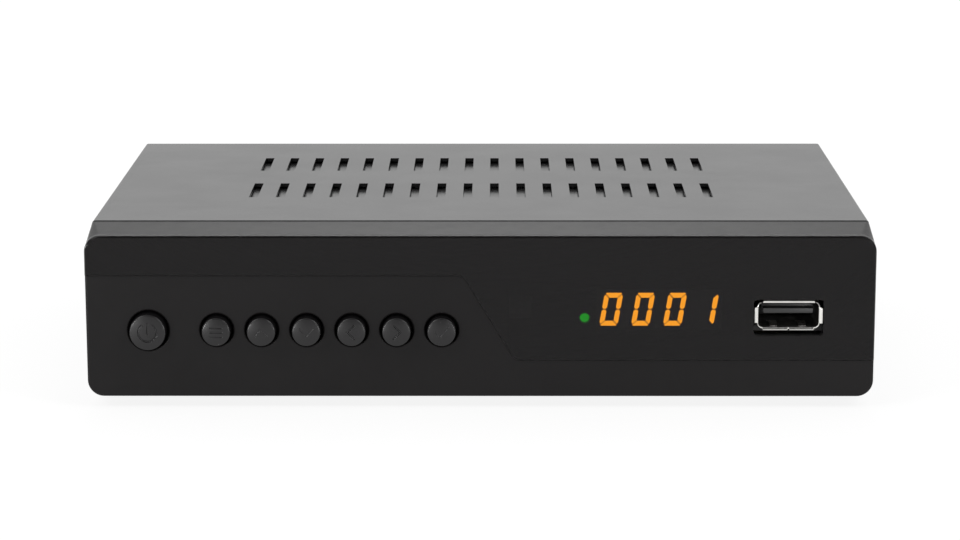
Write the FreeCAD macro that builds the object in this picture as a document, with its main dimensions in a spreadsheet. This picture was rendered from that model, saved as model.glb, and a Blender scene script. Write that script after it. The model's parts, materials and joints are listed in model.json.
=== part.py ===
import FreeCAD, Part

import math
import os

import Sketcher
from FreeCAD import Placement, Rotation, Vector

# A small satellite television receiver, in millimetres.
# X runs along the width, the front faces -Y, and +Z is up. The origin is under the middle of the
# whole object, on the plane its feet stand on. Every piece is drawn with y = 0 at the face of the
# key panel, and then moved back by front_y, which puts the whole object's middle over the origin.

# Driving sizes: alias, millimetres, meaning
DRIVING_SIZES = (
    ("panel_width", 168.0, "front panel, left to right"),
    ("panel_height", 35.1, "front panel at its face"),
    ("panel_corner", 3.5, "corner radius of the face"),
    ("panel_edge", 0.5, "rounding where the face meets the sides"),
    ("panel_collar", 0.6, "straight part of the panel's sides behind the face"),
    ("rim_gap", 0.6, "front board to the plane of the panel's rear rim"),
    ("panel_wall", 2.4, "thickness of the panel's front wall"),
    ("panel_side", 2.0, "thickness of the panel's side walls"),
    ("rim_corner", 0.6, "corner radius of the panel's rear rim"),
    ("rim_drop", 0.16, "panel's rear rim below the top of the lid"),
    ("lid_inset", 0.5, "lid's sides inside the panel's sides"),
    ("lid_above", 1.3, "top of the lid above the panel's face"),
    ("lid_depth", 100.0, "steel lid, front to back"),
    ("sheet", 0.8, "sheet steel"),
    ("bend", 0.7, "outer radius of the lid's bends"),
    ("case_gap", 0.3, "seam between the panel and the steel case"),
    ("fit_gap", 0.15, "clearance between parts that slide together"),
    ("foot_height", 3.0, "rubber foot"),
    ("foot_radius", 5.0, "rubber foot"),
    ("foot_inset_x", 15.0, "foot's middle from the lid's side"),
    ("foot_inset_y", 17.0, "foot's middle from the case's front and back"),
    ("base_raise", 0.5, "underside of the case above the panel's lower edge"),
    ("side_flange", 12.0, "height of the tray's side walls"),
    ("front_wall", 28.0, "height of the tray's front wall"),
    ("rear_flange", 7.0, "strip of the lid that folds down behind the tray"),
    ("band_height", 8.6, "pane above the keys, down from the panel's upper edge"),
    ("step_low", 8.1, "lower edge of the pane's right part, from the panel's lower edge"),
    ("step_start", 80.4, "upper end of the pane's slanted edge, from the panel's left side"),
    ("step_run", 11.0, "slanted edge, left to right"),
    ("step_corner", 2.2, "rounding at both ends of the slanted edge"),
    ("pane_proud", 0.4, "pane in front of the key face"),
    ("pane_thick", 1.6, "smoked pane"),
    ("pane_gap", 0.15, "seam under the pane's lower edge"),
    ("key_travel", 0.3, "how far a key goes in"),
    ("cap_proud", 2.45, "key cap in front of the key face"),
    ("cap_edge", 0.7, "rounding of a key cap"),
    ("power_inset", 13.3, "middle of the power key, from the panel's left side"),
    ("power_z", 14.5, "middle of the power key, from the panel's lower edge"),
    ("power_gap", 0.5, "gap round the power key"),
    ("power_cap", 3.85, "radius of the power key"),
    ("key_inset", 27.87, "middle of the first small key, from the panel's left side"),
    ("key_web", 2.49, "panel between the holes of two small keys"),
    ("key_z", 14.6, "middle of the small keys, from the panel's lower edge"),
    ("key_gap", 0.5, "gap round a small key"),
    ("key_cap", 3.05, "radius of a small key"),
    ("hole_round", 0.35, "rounding of the key holes' edges"),
    ("flange_extra", 0.7, "key flange past its hole's radius"),
    ("flange_gap", 0.3, "key flange behind the front wall at rest"),
    ("flange_thick", 0.8, "key flange"),
    ("icon_depth", 0.2, "engraving in the key caps"),
    ("icon_stroke", 0.38, "width of an engraved line"),
    ("switch_side", 6.0, "push switch body, square"),
    ("switch_body", 3.5, "push switch body, height on the board"),
    ("switch_tall", 4.3, "push switch with its plunger"),
    ("plunger_radius", 1.7, "plunger of a push switch"),
    ("plunger_gap", 0.1, "plunger in its switch, all round"),
    ("plunger_long", 3.3, "plunger of a push switch"),
    ("board", 1.6, "circuit boards"),
    ("display_inset", 45.87, "middle of the four digits, from the panel's right side"),
    ("display_z", 18.83, "middle of the four digits, from the panel's lower edge"),
    ("display_width", 28.0, "display block"),
    ("display_height", 10.0, "display block"),
    ("display_gap", 0.1, "digits behind the pane"),
    ("digit_height", 7.1, "one digit"),
    ("digit_width", 3.92, "one digit"),
    ("digit_pitch", 6.8, "from one digit to the next"),
    ("digit_lean", 0.168, "sideways lean of a digit, per unit of height"),
    ("segment", 1.0, "width of a digit's strokes"),
    ("segment_gap", 0.13, "gap at each end of a stroke"),
    ("segment_thick", 0.3, "light bars over the display block"),
    ("lamp_gap", 1.85, "middle of the green lamp to the display block"),
    ("lamp_z", 16.9, "green lamp, from the panel's lower edge"),
    ("lamp_radius", 1.0, "green lamp"),
    ("eye_inset", 75.5, "remote control receiver, from the panel's right side"),
    ("eye_z", 19.4, "remote control receiver, from the panel's lower edge"),
    ("usb_inset", 18.4, "middle of the front socket, from the panel's right side"),
    ("usb_z", 17.9, "front socket, from the panel's lower edge"),
    ("usb_cut_width", 14.8, "cut-out for the front socket"),
    ("usb_cut_height", 7.8, "cut-out for the front socket"),
    ("usb_cut_drop", 0.54, "cut-out's middle below the socket's middle"),
    ("usb_flare_width", 14.3, "flared mouth of the socket"),
    ("usb_flare_height", 6.4, "flared mouth of the socket"),
    ("usb_width", 12.5, "socket, inside"),
    ("usb_height", 5.12, "socket, inside"),
    ("usb_sheet", 0.3, "socket shell"),
    ("usb_long", 14.0, "socket, front to back"),
    ("usb_flare_long", 0.9, "depth of the flared mouth"),
    ("usb_proud", 0.1, "socket in front of the pane"),
    ("slot_count", 18, "vent slots in a row"),
    ("slot_pitch", 6.0, "from one vent slot to the next"),
    ("slot_width", 2.0, "vent slot"),
    ("slot_long", 17.3, "vent slot"),
    ("slot_front", 27.5, "near end of the front row, behind the lid's front edge"),
    ("slot_row_pitch", 34.0, "from the front row to the rear row"),
    ("guard_drop", 1.2, "sheet under the slots, below the lid's top"),
    ("guard_thick", 0.4, "sheet under the slots"),
    ("guard_margin", 7.0, "sheet past the slots on every side"),
    ("standoff", 4.0, "pillars pressed up from the tray"),
    ("standoff_radius", 3.0, "pillars pressed up from the tray"),
    ("screw_radius", 1.4, "screw shank"),
    ("screw_gap", 0.05, "screw shank in its thread"),
    ("screw_head", 2.8, "screw head radius"),
    ("screw_head_tall", 1.7, "screw head"),
    ("board_front", 14.5, "front edge of the main board, behind the key face"),
    ("board_rear_gap", 1.2, "main board to the rear wall"),
    ("board_side_gap", 2.75, "main board to the tray's side walls"),
    ("f_radius", 4.76, "threaded antenna socket"),
    ("f_proud", 11.0, "antenna socket behind the case"),
    ("f_pitch", 17.0, "from one antenna socket to the other"),
    ("f_rise", 7.6, "antenna socket above the main board"),
    ("tuner_width", 37.0, "tuner can"),
    ("tuner_deep", 26.0, "tuner can"),
    ("tuner_tall", 14.0, "tuner can"),
    ("f_collar", 5.7, "antenna socket's collar, radius"),
    ("collar_proud", 1.0, "sockets' collars behind the case"),
    ("coax_radius", 4.15, "ring of the sound socket"),
    ("coax_collar", 5.0, "sound socket's collar, radius"),
    ("coax_proud", 8.5, "ring of the sound socket behind the case"),
    ("socket_gap", 0.4, "rear cut-outs round the sockets"),
)


class Size:
    """A size, as an expression on the sheet and as the number that it gives."""

    def __init__(self, text, value):
        self.text = text
        self.value = value

    def __add__(self, other):
        return Size(f"({self.text} + {text_of(other)})", self.value + number(other))

    def __radd__(self, other):
        return Size(f"({text_of(other)} + {self.text})", number(other) + self.value)

    def __sub__(self, other):
        return Size(f"({self.text} - {text_of(other)})", self.value - number(other))

    def __rsub__(self, other):
        return Size(f"({text_of(other)} - {self.text})", number(other) - self.value)

    def __mul__(self, other):
        return Size(f"({self.text} * {text_of(other)})", self.value * number(other))

    def __rmul__(self, other):
        return Size(f"({text_of(other)} * {self.text})", number(other) * self.value)

    def __truediv__(self, other):
        return Size(f"({self.text} / {text_of(other)})", self.value / number(other))

    def __neg__(self):
        return Size(f"(0 - {self.text})", -self.value)


def number(size):
    """The millimetres of a Size or of a plain number."""
    return size.value if isinstance(size, Size) else float(size)


def text_of(size):
    """The expression of a Size or of a plain number."""
    return size.text if isinstance(size, Size) else f"({float(size)})"


def bind(thing, path, size):
    """Ties one property of an object to the sheet."""
    if isinstance(size, Size):
        thing.setExpression(path, size.text)


doc = FreeCAD.newDocument("Receiver")
sheet = doc.addObject("Spreadsheet::Sheet", "Sizes")


class Sizes:
    """The driving sizes, one attribute for each alias on the sheet."""

    def __init__(self):
        for row, (alias, value, meaning) in enumerate(DRIVING_SIZES, 1):
            sheet.set(f"A{row}", meaning)
            sheet.set(f"B{row}", str(value))
            sheet.setAlias(f"B{row}", alias)
            setattr(self, alias, Size(f"Sizes.{alias}", float(value)))


s = Sizes()
doc.recompute()

# Levels and places worked out from the driving sizes
half_panel = s.panel_width / 2
half_lid = half_panel - s.lid_inset
half_tray = half_lid - s.sheet - s.fit_gap
board_half = half_tray - s.sheet - s.board_side_gap
flange_front = s.panel_wall + s.flange_gap
plunger_tip = flange_front + s.flange_thick
front_board_front = plunger_tip + s.switch_tall
front_board_back = front_board_front + s.board
panel_depth = front_board_back + s.rim_gap
front_y = (s.cap_proud - panel_depth - s.lid_depth - s.f_proud) / 2
panel_low = s.foot_height - s.base_raise
panel_high = panel_low + s.panel_height
tray_low = s.foot_height
tray_floor = tray_low + s.sheet
board_low = tray_floor + s.standoff
board_high = board_low + s.board
lid_high = panel_high + s.lid_above
lid_under = lid_high - s.sheet
rim_high = lid_high - s.rim_drop
pane_front = -s.pane_proud
pane_back = pane_front + s.pane_thick
case_front = panel_depth + s.case_gap
case_back = panel_depth + s.lid_depth
rear_back = case_back - s.sheet - s.fit_gap
rear_front = rear_back - s.sheet
board_back = rear_front - s.board_rear_gap
step_high = panel_high - s.band_height
step_low = panel_low + s.step_low
step_high_x = s.step_start - half_panel
step_low_x = step_high_x + s.step_run
power_x = s.power_inset - half_panel
power_hole = s.power_cap + s.power_gap
key_first_x = s.key_inset - half_panel
key_hole = s.key_cap + s.key_gap
key_pitch = key_hole * 2 + s.key_web
display_x = half_panel - s.display_inset
display_left = display_x - s.display_width / 2
display_right = display_x + s.display_width / 2
display_middle = panel_low + s.display_z
display_low = display_middle - s.display_height / 2
display_top = display_middle + s.display_height / 2
lamp_x = display_left - s.lamp_gap
eye_x = half_panel - s.eye_inset
usb_x = half_panel - s.usb_inset
usb_front = pane_front - s.usb_proud
usb_middle_z = panel_low + s.usb_z
riser_high = usb_middle_z - s.usb_height / 2 - s.usb_sheet
socket_z = board_high + s.f_rise

# Panel pieces
OUTSIDE = 3.0  # how far a cutting outline reaches past the piece it cuts
ROOT = 0.2  # how far a boss or a fin reaches into what carries it
BACK_OF_RECESS = 0.5  # extra length of cuts that go right through the front wall
TAB_WIDTH, TAB_THICK, TAB_LONG, TAB_ROOT = 12.0, 1.6, 7.0, 2.0
TOP_TAB_X, LOW_TAB_X = 50.0, 40.0
BOSS_RADIUS, BOSS_HOLE, BOSS_HOLE_LONG = 2.5, 1.15, 4.0
BOSSES = (
    (power_x + 4.4, panel_low + s.power_z + 8.8),
    (key_first_x + key_pitch * 4.5, panel_low + s.key_z - 6.55),
    (eye_x + 7.0, panel_low + s.eye_z + 3.0),
    (display_right - 4.65, display_low - 3.75),
)
PANEL_SCREW_SHANK, PANEL_SCREW_HEAD, PANEL_SCREW_HEAD_TALL = 1.1, 2.2, 1.2
BOARD_HOLE, BOARD_FOOT, BOARD_TOP = 1.5, 3.6, 2.8
DISPLAY_LEDGE, DISPLAY_NOSE_EDGE = 0.6, 0.9
LAMP_GAP, LAMP_FOOT_EXTRA, LAMP_FOOT_TALL = 0.1, 0.15, 2.0
EYE_WINDOW, EYE_LENS, EYE_HALF_WIDTH, EYE_HALF_HEIGHT = 2.4, 1.9, 2.9, 3.3

# Key symbols: strokes from point to point, as shares of the cap's radius
SYMBOLS = {
    "menu": tuple(((-0.42, height), (0.42, height)) for height in (0.34, 0.0, -0.34)),
    "up": (((-0.42, -0.22), (0.0, 0.26)), ((0.42, -0.22), (0.0, 0.26))),
    "down": (((-0.42, 0.22), (0.0, -0.26)), ((0.42, 0.22), (0.0, -0.26))),
    "left": (((0.2, 0.48), (-0.28, 0.0)), ((0.2, -0.48), (-0.28, 0.0))),
    "right": (((-0.2, 0.48), (0.28, 0.0)), ((-0.2, -0.48), (0.28, 0.0))),
    "confirm": (((-0.44, 0.02), (-0.12, -0.34)), ((-0.12, -0.34), (0.46, 0.38))),
}

nodes = {}


def plane_of(body, role):
    """A body's own origin plane."""
    return next(f for f in body.Origin.OriginFeatures if f.Role == role)


def new_body():
    return doc.addObject("PartDesign::Body", "Body")


def new_sketch(body, plane, offset=0):
    """A sketch on a body's XY, XZ or YZ plane, moved to z, y or x = offset."""
    along = -offset if plane == "XZ" else offset
    sketch = body.newObject("Sketcher::SketchObject", "Sketch")
    sketch.AttachmentSupport = (plane_of(body, plane + "_Plane"), [""])
    sketch.MapMode = "FlatFace"
    sketch.AttachmentOffset = Placement(Vector(0, 0, number(along)), Rotation())
    bind(sketch, "AttachmentOffset.Base.z", along)
    return sketch


def dimension(sketch, kind, geometry, end, size):
    """One named distance of a point from the sketch's origin, tied to the sheet."""
    if number(size) == 0 and not isinstance(size, Size):
        axis = -2 if kind == "DistanceX" else -1
        sketch.addConstraint(Sketcher.Constraint("PointOnObject", geometry, end, axis))
        return
    index = sketch.addConstraint(
        Sketcher.Constraint(kind, -1, 1, geometry, end, number(size))
    )
    name = f"{kind}_{index}"
    sketch.renameConstraint(index, name)
    bind(sketch, "Constraints." + name, size)


def radius_of(sketch, geometry, size):
    """A named radius tied to the sheet."""
    index = sketch.addConstraint(Sketcher.Constraint("Radius", geometry, number(size)))
    name = f"Radius_{index}"
    sketch.renameConstraint(index, name)
    bind(sketch, "Constraints." + name, size)


def polygon(sketch, points):
    """A closed outline of straight lines, every corner dimensioned from the origin."""
    corners = [Vector(number(x), number(y), 0) for x, y in points]
    lines = [
        sketch.addGeometry(Part.LineSegment(corner, corners[(i + 1) % len(corners)]), False)
        for i, corner in enumerate(corners)
    ]
    for i, line in enumerate(lines):
        following = lines[(i + 1) % len(lines)]
        sketch.addConstraint(Sketcher.Constraint("Coincident", line, 2, following, 1))
    for line, (x, y) in zip(lines, points):
        dimension(sketch, "DistanceX", line, 1, x)
        dimension(sketch, "DistanceY", line, 1, y)


def rectangle(sketch, left, low, right, high):
    polygon(sketch, [(left, low), (right, low), (right, high), (left, high)])


def circle(sketch, x, y, radius):
    place = Vector(number(x), number(y), 0)
    ring = sketch.addGeometry(Part.Circle(place, Vector(0, 0, 1), number(radius)), False)
    radius_of(sketch, ring, radius)
    dimension(sketch, "DistanceX", ring, 3, x)
    dimension(sketch, "DistanceY", ring, 3, y)


def rounded_rectangle(sketch, left, low, right, high, radius):
    """A rectangle with tangent arcs at its corners."""
    x1, y1, x2, y2, r = (number(v) for v in (left, low, right, high, radius))
    corners = ((x2 - r, y1 + r), (x2 - r, y2 - r), (x1 + r, y2 - r), (x1 + r, y1 + r))
    ends = (
        ((x1 + r, y1), (x2 - r, y1)),
        ((x2, y1 + r), (x2, y2 - r)),
        ((x2 - r, y2), (x1 + r, y2)),
        ((x1, y2 - r), (x1, y1 + r)),
    )
    lines, arcs = [], []
    for turn, ((start, end), corner) in enumerate(zip(ends, corners)):
        lines.append(
            sketch.addGeometry(Part.LineSegment(Vector(*start, 0), Vector(*end, 0)), False)
        )
        whole = Part.Circle(Vector(*corner, 0), Vector(0, 0, 1), r)
        first = math.radians(90 * turn - 90)
        arc = Part.ArcOfCircle(whole, first, first + math.pi / 2)
        arcs.append(sketch.addGeometry(arc, False))
    for i in range(4):
        following = lines[(i + 1) % 4]
        sketch.addConstraint(Sketcher.Constraint("Tangent", lines[i], 2, arcs[i], 1))
        sketch.addConstraint(Sketcher.Constraint("Tangent", arcs[i], 2, following, 1))
        if i:
            sketch.addConstraint(Sketcher.Constraint("Equal", arcs[0], arcs[i]))
        straight = "Vertical" if i % 2 else "Horizontal"
        sketch.addConstraint(Sketcher.Constraint(straight, lines[i]))
    radius_of(sketch, arcs[0], radius)
    dimension(sketch, "DistanceY", lines[0], 1, low)
    dimension(sketch, "DistanceX", lines[1], 1, right)
    dimension(sketch, "DistanceY", lines[2], 1, high)
    dimension(sketch, "DistanceX", lines[3], 1, left)


def pad(body, sketch, length, backwards=False):
    """Adds the sketch's outline along its normal, or against it. On XZ, backwards is +Y."""
    feature = body.newObject("PartDesign::Pad", "Pad")
    feature.Profile = sketch
    feature.Length = number(length)
    feature.Reversed = backwards
    bind(feature, "Length", length)
    return feature


def pocket(body, sketch, length, forwards=False):
    """Cuts against the sketch's normal, or along it. On XZ, the plain way is +Y."""
    feature = body.newObject("PartDesign::Pocket", "Pocket")
    feature.Profile = sketch
    feature.Length = number(length)
    feature.Reversed = forwards
    bind(feature, "Length", length)
    return feature


def revolve(body, sketch, axis):
    feature = body.newObject("PartDesign::Revolution", "Revolution")
    feature.Profile = sketch
    feature.ReferenceAxis = (sketch, [axis])
    feature.Angle = 360
    return feature


def loft(body, kind, first, last):
    """A straight loft between two sketches; kind is Additive or Subtractive."""
    feature = body.newObject(f"PartDesign::{kind}Loft", "Loft")
    feature.Profile = first
    feature.Sections = [last]
    feature.Ruled = True
    return feature


def dress(body, kind, size, wanted):
    """A Fillet or Chamfer of the given size on the body's edges that wanted() picks."""
    doc.recompute()
    base = body.Tip
    names = [f"Edge{i}" for i, edge in enumerate(base.Shape.Edges, 1) if wanted(edge)]
    feature = body.newObject(f"PartDesign::{kind}", kind)
    feature.Base = (base, names)
    path = "Radius" if kind == "Fillet" else "Size"
    setattr(feature, path, number(size))
    bind(feature, path, size)
    return feature


def lies_at(edge, axis, place):
    """True if the whole edge lies in the plane axis = place."""
    box = edge.BoundBox
    low, high = getattr(box, axis + "Min"), getattr(box, axis + "Max")
    return abs(low - number(place)) < 0.01 and abs(high - number(place)) < 0.01


def stands_at(edge, x, z):
    """True if the edge runs along Y through (x, z)."""
    return lies_at(edge, "X", x) and lies_at(edge, "Z", z)


def put(thing, x=0, y=0, z=0, rotation=None):
    """Places an object, tied to the sheet."""
    thing.Placement = Placement(Vector(number(x), number(y), number(z)), rotation or Rotation())
    for letter, size in zip("xyz", (x, y, z)):
        bind(thing, "Placement.Base." + letter, size)
    return thing


def box(low, high, label="Box"):
    """A Part::Box between two corners."""
    thing = doc.addObject("Part::Box", label)
    for side, start, end in zip(("Length", "Width", "Height"), low, high):
        setattr(thing, side, number(end - start))
        bind(thing, side, end - start)
    return put(thing, *low)


ALONG = {
    "x": Rotation(Vector(0, 1, 0), 90),
    "y": Rotation(Vector(1, 0, 0), -90),
    "z": Rotation(),
}


def cylinder(radius, length, x, y, z, axis="z"):
    """A Part::Cylinder from (x, y, z) along +X, +Y or +Z."""
    thing = doc.addObject("Part::Cylinder", "Cylinder")
    thing.Radius = number(radius)
    thing.Height = number(length)
    bind(thing, "Radius", radius)
    bind(thing, "Height", length)
    return put(thing, x, y, z, ALONG[axis])


def cone(first, last, length, x, y, z, axis="z"):
    """A Part::Cone from (x, y, z) along +X, +Y or +Z."""
    thing = doc.addObject("Part::Cone", "Cone")
    thing.Radius1 = number(first)
    thing.Radius2 = number(last)
    thing.Height = number(length)
    bind(thing, "Radius1", first)
    bind(thing, "Radius2", last)
    bind(thing, "Height", length)
    return put(thing, x, y, z, ALONG[axis])


def fuse(*pieces):
    thing = doc.addObject("Part::MultiFuse", "Fusion")
    thing.Shapes = list(pieces)
    return thing


def cut(base, *tools):
    thing = doc.addObject("Part::Cut", "Cut")
    thing.Base = base
    thing.Tool = tools[0] if len(tools) == 1 else fuse(*tools)
    return thing


def group(pieces):
    """Separate solids that share one node."""
    thing = doc.addObject("Part::Compound", "Group")
    thing.Links = list(pieces)
    return thing


def node(label, thing, x=0, z=0):
    """Names a finished sub-part and moves it from the drawing's place to the object's."""
    if thing.TypeId in ("Part::Box", "Part::Cylinder"):
        thing = group([thing])  # its own placement holds its place in the drawing
    thing.Label = label
    nodes[label] = put(thing, x, front_y, z)


# The front panel


def step_outline(above, gap):
    """Outline of all that lies above, or below, the pane's stepped lower edge."""
    far = half_panel + OUTSIDE
    end = panel_high + OUTSIDE if above else panel_low - OUTSIDE
    high = step_high - gap
    low = step_low - gap
    return [
        (-far, high),
        (step_high_x, high),
        (step_low_x, low),
        (far, low),
        (far, end),
        (-far, end),
    ]


def round_step_corners(body, gap):
    """Rounds both ends of the slanted edge."""
    high = step_high - gap
    low = step_low - gap
    dress(
        body,
        "Fillet",
        s.step_corner,
        lambda e: stands_at(e, step_high_x, high) or stands_at(e, step_low_x, low),
    )


def form_outline(body, y):
    """The panel's outline at a depth: the face's as far as the collar, then nearer the rim's."""
    share = (y - s.panel_collar) / (panel_depth - s.panel_collar)
    side = half_panel - s.lid_inset * share
    top = panel_high + (rim_high - panel_high) * share
    corner = s.panel_corner - (s.panel_corner - s.rim_corner) * share
    sketch = new_sketch(body, "XZ", y)
    rounded_rectangle(sketch, -side, panel_low, side, top, corner)
    return sketch


def panel_form(body, front, back):
    """A length of the panel's outer form with a rounded front edge, which slopes up to the lid."""
    face = new_sketch(body, "XZ", front)
    rounded_rectangle(face, -half_panel, panel_low, half_panel, panel_high, s.panel_corner)
    pad(body, face, s.panel_collar, backwards=True)
    dress(body, "Fillet", s.panel_edge, lambda e: lies_at(e, "Y", front))
    collar = new_sketch(body, "XZ", front + s.panel_collar)
    rounded_rectangle(collar, -half_panel, panel_low, half_panel, panel_high, s.panel_corner)
    loft(body, "Additive", collar, form_outline(body, back))


def usb_cut_outline(sketch):
    middle = usb_middle_z - s.usb_cut_drop
    rounded_rectangle(
        sketch,
        usb_x - s.usb_cut_width / 2,
        middle - s.usb_cut_height / 2,
        usb_x + s.usb_cut_width / 2,
        middle + s.usb_cut_height / 2,
        0.8,
    )


def key_places():
    """Name, x, z, hole radius and cap radius of each key."""
    yield "power", power_x, panel_low + s.power_z, power_hole, s.power_cap
    for i, name in enumerate(SYMBOLS):
        x = key_first_x + key_pitch * i
        yield name, x, panel_low + s.key_z, key_hole, s.key_cap


def make_front_frame():
    body = new_body()
    panel_form(body, 0, panel_depth)

    recess = new_sketch(body, "XZ", 0)
    polygon(recess, step_outline(True, s.pane_gap))
    pocket(body, recess, pane_back)
    round_step_corners(body, s.pane_gap)

    cavity = new_sketch(body, "XZ", s.panel_wall)
    side = half_panel - s.panel_side
    rounded_rectangle(
        cavity, -side, panel_low + s.panel_side, side, panel_high - s.panel_side, 1.5
    )
    pocket(body, cavity, panel_depth)

    holes = new_sketch(body, "XZ", 0)
    for _, x, z, hole, _ in key_places():
        circle(holes, x, z, hole)
    usb_cut_outline(holes)
    pocket(body, holes, s.panel_wall + BACK_OF_RECESS)
    radii = {round(number(power_hole), 3), round(number(key_hole), 3)}
    dress(
        body,
        "Fillet",
        s.hole_round,
        lambda e: lies_at(e, "Y", 0)
        and isinstance(e.Curve, Part.Circle)
        and round(e.Curve.Radius, 3) in radii,
    )

    windows = new_sketch(body, "XZ", 0)
    rectangle(
        windows,
        display_left + DISPLAY_LEDGE,
        display_low + DISPLAY_LEDGE,
        display_right - DISPLAY_LEDGE,
        display_top - DISPLAY_LEDGE,
    )
    circle(windows, lamp_x, panel_low + s.lamp_z, s.lamp_radius + LAMP_GAP)
    eye_z = panel_low + s.eye_z
    rectangle(
        windows, eye_x - EYE_WINDOW, eye_z - EYE_WINDOW, eye_x + EYE_WINDOW, eye_z + EYE_WINDOW
    )
    pocket(body, windows, s.panel_wall + BACK_OF_RECESS)

    bosses = new_sketch(body, "XZ", s.panel_wall - ROOT)
    for x, z in BOSSES:
        circle(bosses, x, z, BOSS_RADIUS)
    pad(body, bosses, front_board_front - s.panel_wall + ROOT, backwards=True)
    threads = new_sketch(body, "XZ", front_board_front - BOSS_HOLE_LONG)
    for x, z in BOSSES:
        circle(threads, x, z, BOSS_HOLE)
    pocket(body, threads, BOSS_HOLE_LONG + BACK_OF_RECESS)

    tabs = new_sketch(body, "XZ", panel_depth - TAB_ROOT)
    top_tab = lid_under - s.fit_gap - TAB_THICK
    low_tab = tray_floor + s.fit_gap
    for sign in (-1, 1):
        for x, z in ((sign * TOP_TAB_X, top_tab), (sign * LOW_TAB_X, low_tab)):
            rectangle(tabs, x - TAB_WIDTH / 2, z, x + TAB_WIDTH / 2, z + TAB_THICK)
    pad(body, tabs, TAB_LONG + TAB_ROOT, backwards=True)
    node("front_frame", body)


def make_display_window():
    body = new_body()
    panel_form(body, pane_front, pane_back)
    below = new_sketch(body, "XZ", pane_front)
    polygon(below, step_outline(False, 0))
    pocket(body, below, s.pane_thick)
    round_step_corners(body, 0)
    hole = new_sketch(body, "XZ", pane_front)
    usb_cut_outline(hole)
    pocket(body, hole, s.pane_thick)
    node("display_window", body)


# The keys and their switches


def stroke(start, end, radius):
    """One engraved line of a key's symbol, a thin box on the cap's face."""
    (x1, z1), (x2, z2) = start, end
    length = math.hypot(x2 - x1, z2 - z1)
    angle = math.degrees(math.atan2(z2 - z1, x2 - x1))
    turn = Rotation(Vector(0, -1, 0), angle)
    across = turn.multVec(Vector(0, 0, 1))
    bar = doc.addObject("Part::Box", "Stroke")
    bar.Length = length * number(radius)
    bind(bar, "Length", radius * length)
    bar.Width = 1
    bind(bar, "Width", s.icon_depth * 2)
    bar.Height = number(s.icon_stroke)
    bind(bar, "Height", s.icon_stroke)
    return put(
        bar,
        radius * x1 - s.icon_stroke * (across.x / 2),
        -s.cap_proud - s.icon_depth,
        radius * z1 - s.icon_stroke * (across.z / 2),
        turn,
    )


def power_symbol(radius):
    """An open ring with a bar in its gap."""
    deep = s.icon_depth * 2
    front = -s.cap_proud - s.icon_depth
    outer = cylinder(radius * 0.48, deep, 0, front, 0, "y")
    inner = cylinder(radius * 0.48 - s.icon_stroke, deep, 0, front, 0, "y")
    ring = cut(outer, inner)
    gap = box(
        (radius * -0.2, front, 0),
        (radius * 0.2, front + deep, radius * 0.6),
    )
    bar = stroke((0, 0.12), (0, 0.62), radius)
    return [cut(ring, gap), bar]


def make_key(name, x, z, hole, cap):
    """A cap with a flange that keeps it behind the wall, and the switch plunger it rests on."""
    body = new_body()
    outline = new_sketch(body, "YZ")
    flange = hole + s.flange_extra
    polygon(
        outline,
        [
            (-s.cap_proud, 0),
            (plunger_tip, 0),
            (plunger_tip, flange),
            (flange_front, flange),
            (flange_front, cap),
            (-s.cap_proud, cap),
        ],
    )
    revolve(body, outline, "H_Axis")
    dress(body, "Fillet", s.cap_edge, lambda e: lies_at(e, "Y", -s.cap_proud))
    if name == "power":
        marks = power_symbol(cap)
    else:
        marks = [stroke(start, end, cap) for start, end in SYMBOLS[name]]
    node(f"{name}_key", cut(body, *marks), x, z)
    plunger = cylinder(s.plunger_radius, s.plunger_long, 0, plunger_tip, 0, "y")
    node(f"{name}_plunger", plunger, x, z)


def make_switch(x, z):
    """A push switch body with its plunger's hole, standing on the front board."""
    top = front_board_front - s.switch_body
    half = s.switch_side / 2
    block = box((x - half, top, z - half), (x + half, front_board_front, z + half))
    bore = cylinder(
        s.plunger_radius + s.plunger_gap, s.switch_body - 0.4, x, top, z, "y"
    )
    return cut(block, bore)


def make_keys():
    for name, x, z, hole, cap in key_places():
        make_key(name, x, z, hole, cap)
    switches = [make_switch(x, z) for _, x, z, _, _ in key_places()]
    node("key_switches", group(switches))


# Behind the pane


def make_front_board():
    body = new_body()
    outline = new_sketch(body, "XZ", front_board_front)
    left = s.panel_side + OUTSIDE - half_panel
    right = usb_x - s.usb_cut_width / 2 - BOARD_HOLE
    rectangle(outline, left, panel_low + BOARD_FOOT, right, panel_high - BOARD_TOP)
    pad(body, outline, s.board, backwards=True)
    holes = new_sketch(body, "XZ", front_board_front)
    for x, z in BOSSES:
        circle(holes, x, z, BOARD_HOLE)
    pocket(body, holes, s.board)
    node("front_board", body)


def make_panel_screws():
    """Screws from behind the front board into the panel's bosses."""
    screws = []
    for x, z in BOSSES:
        head = cylinder(PANEL_SCREW_HEAD, PANEL_SCREW_HEAD_TALL, x, front_board_back, z, "y")
        shank_long = s.board + BOSS_HOLE_LONG - BACK_OF_RECESS
        shank = cylinder(
            PANEL_SCREW_SHANK, shank_long, x, front_board_back - shank_long, z, "y"
        )
        screws.append(fuse(head, shank))
    node("panel_screws", group(screws))


TIP_CUT, SIDE_CUT = 0.28, 0.3  # cut corners of a digit's strokes, as shares of their width


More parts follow.
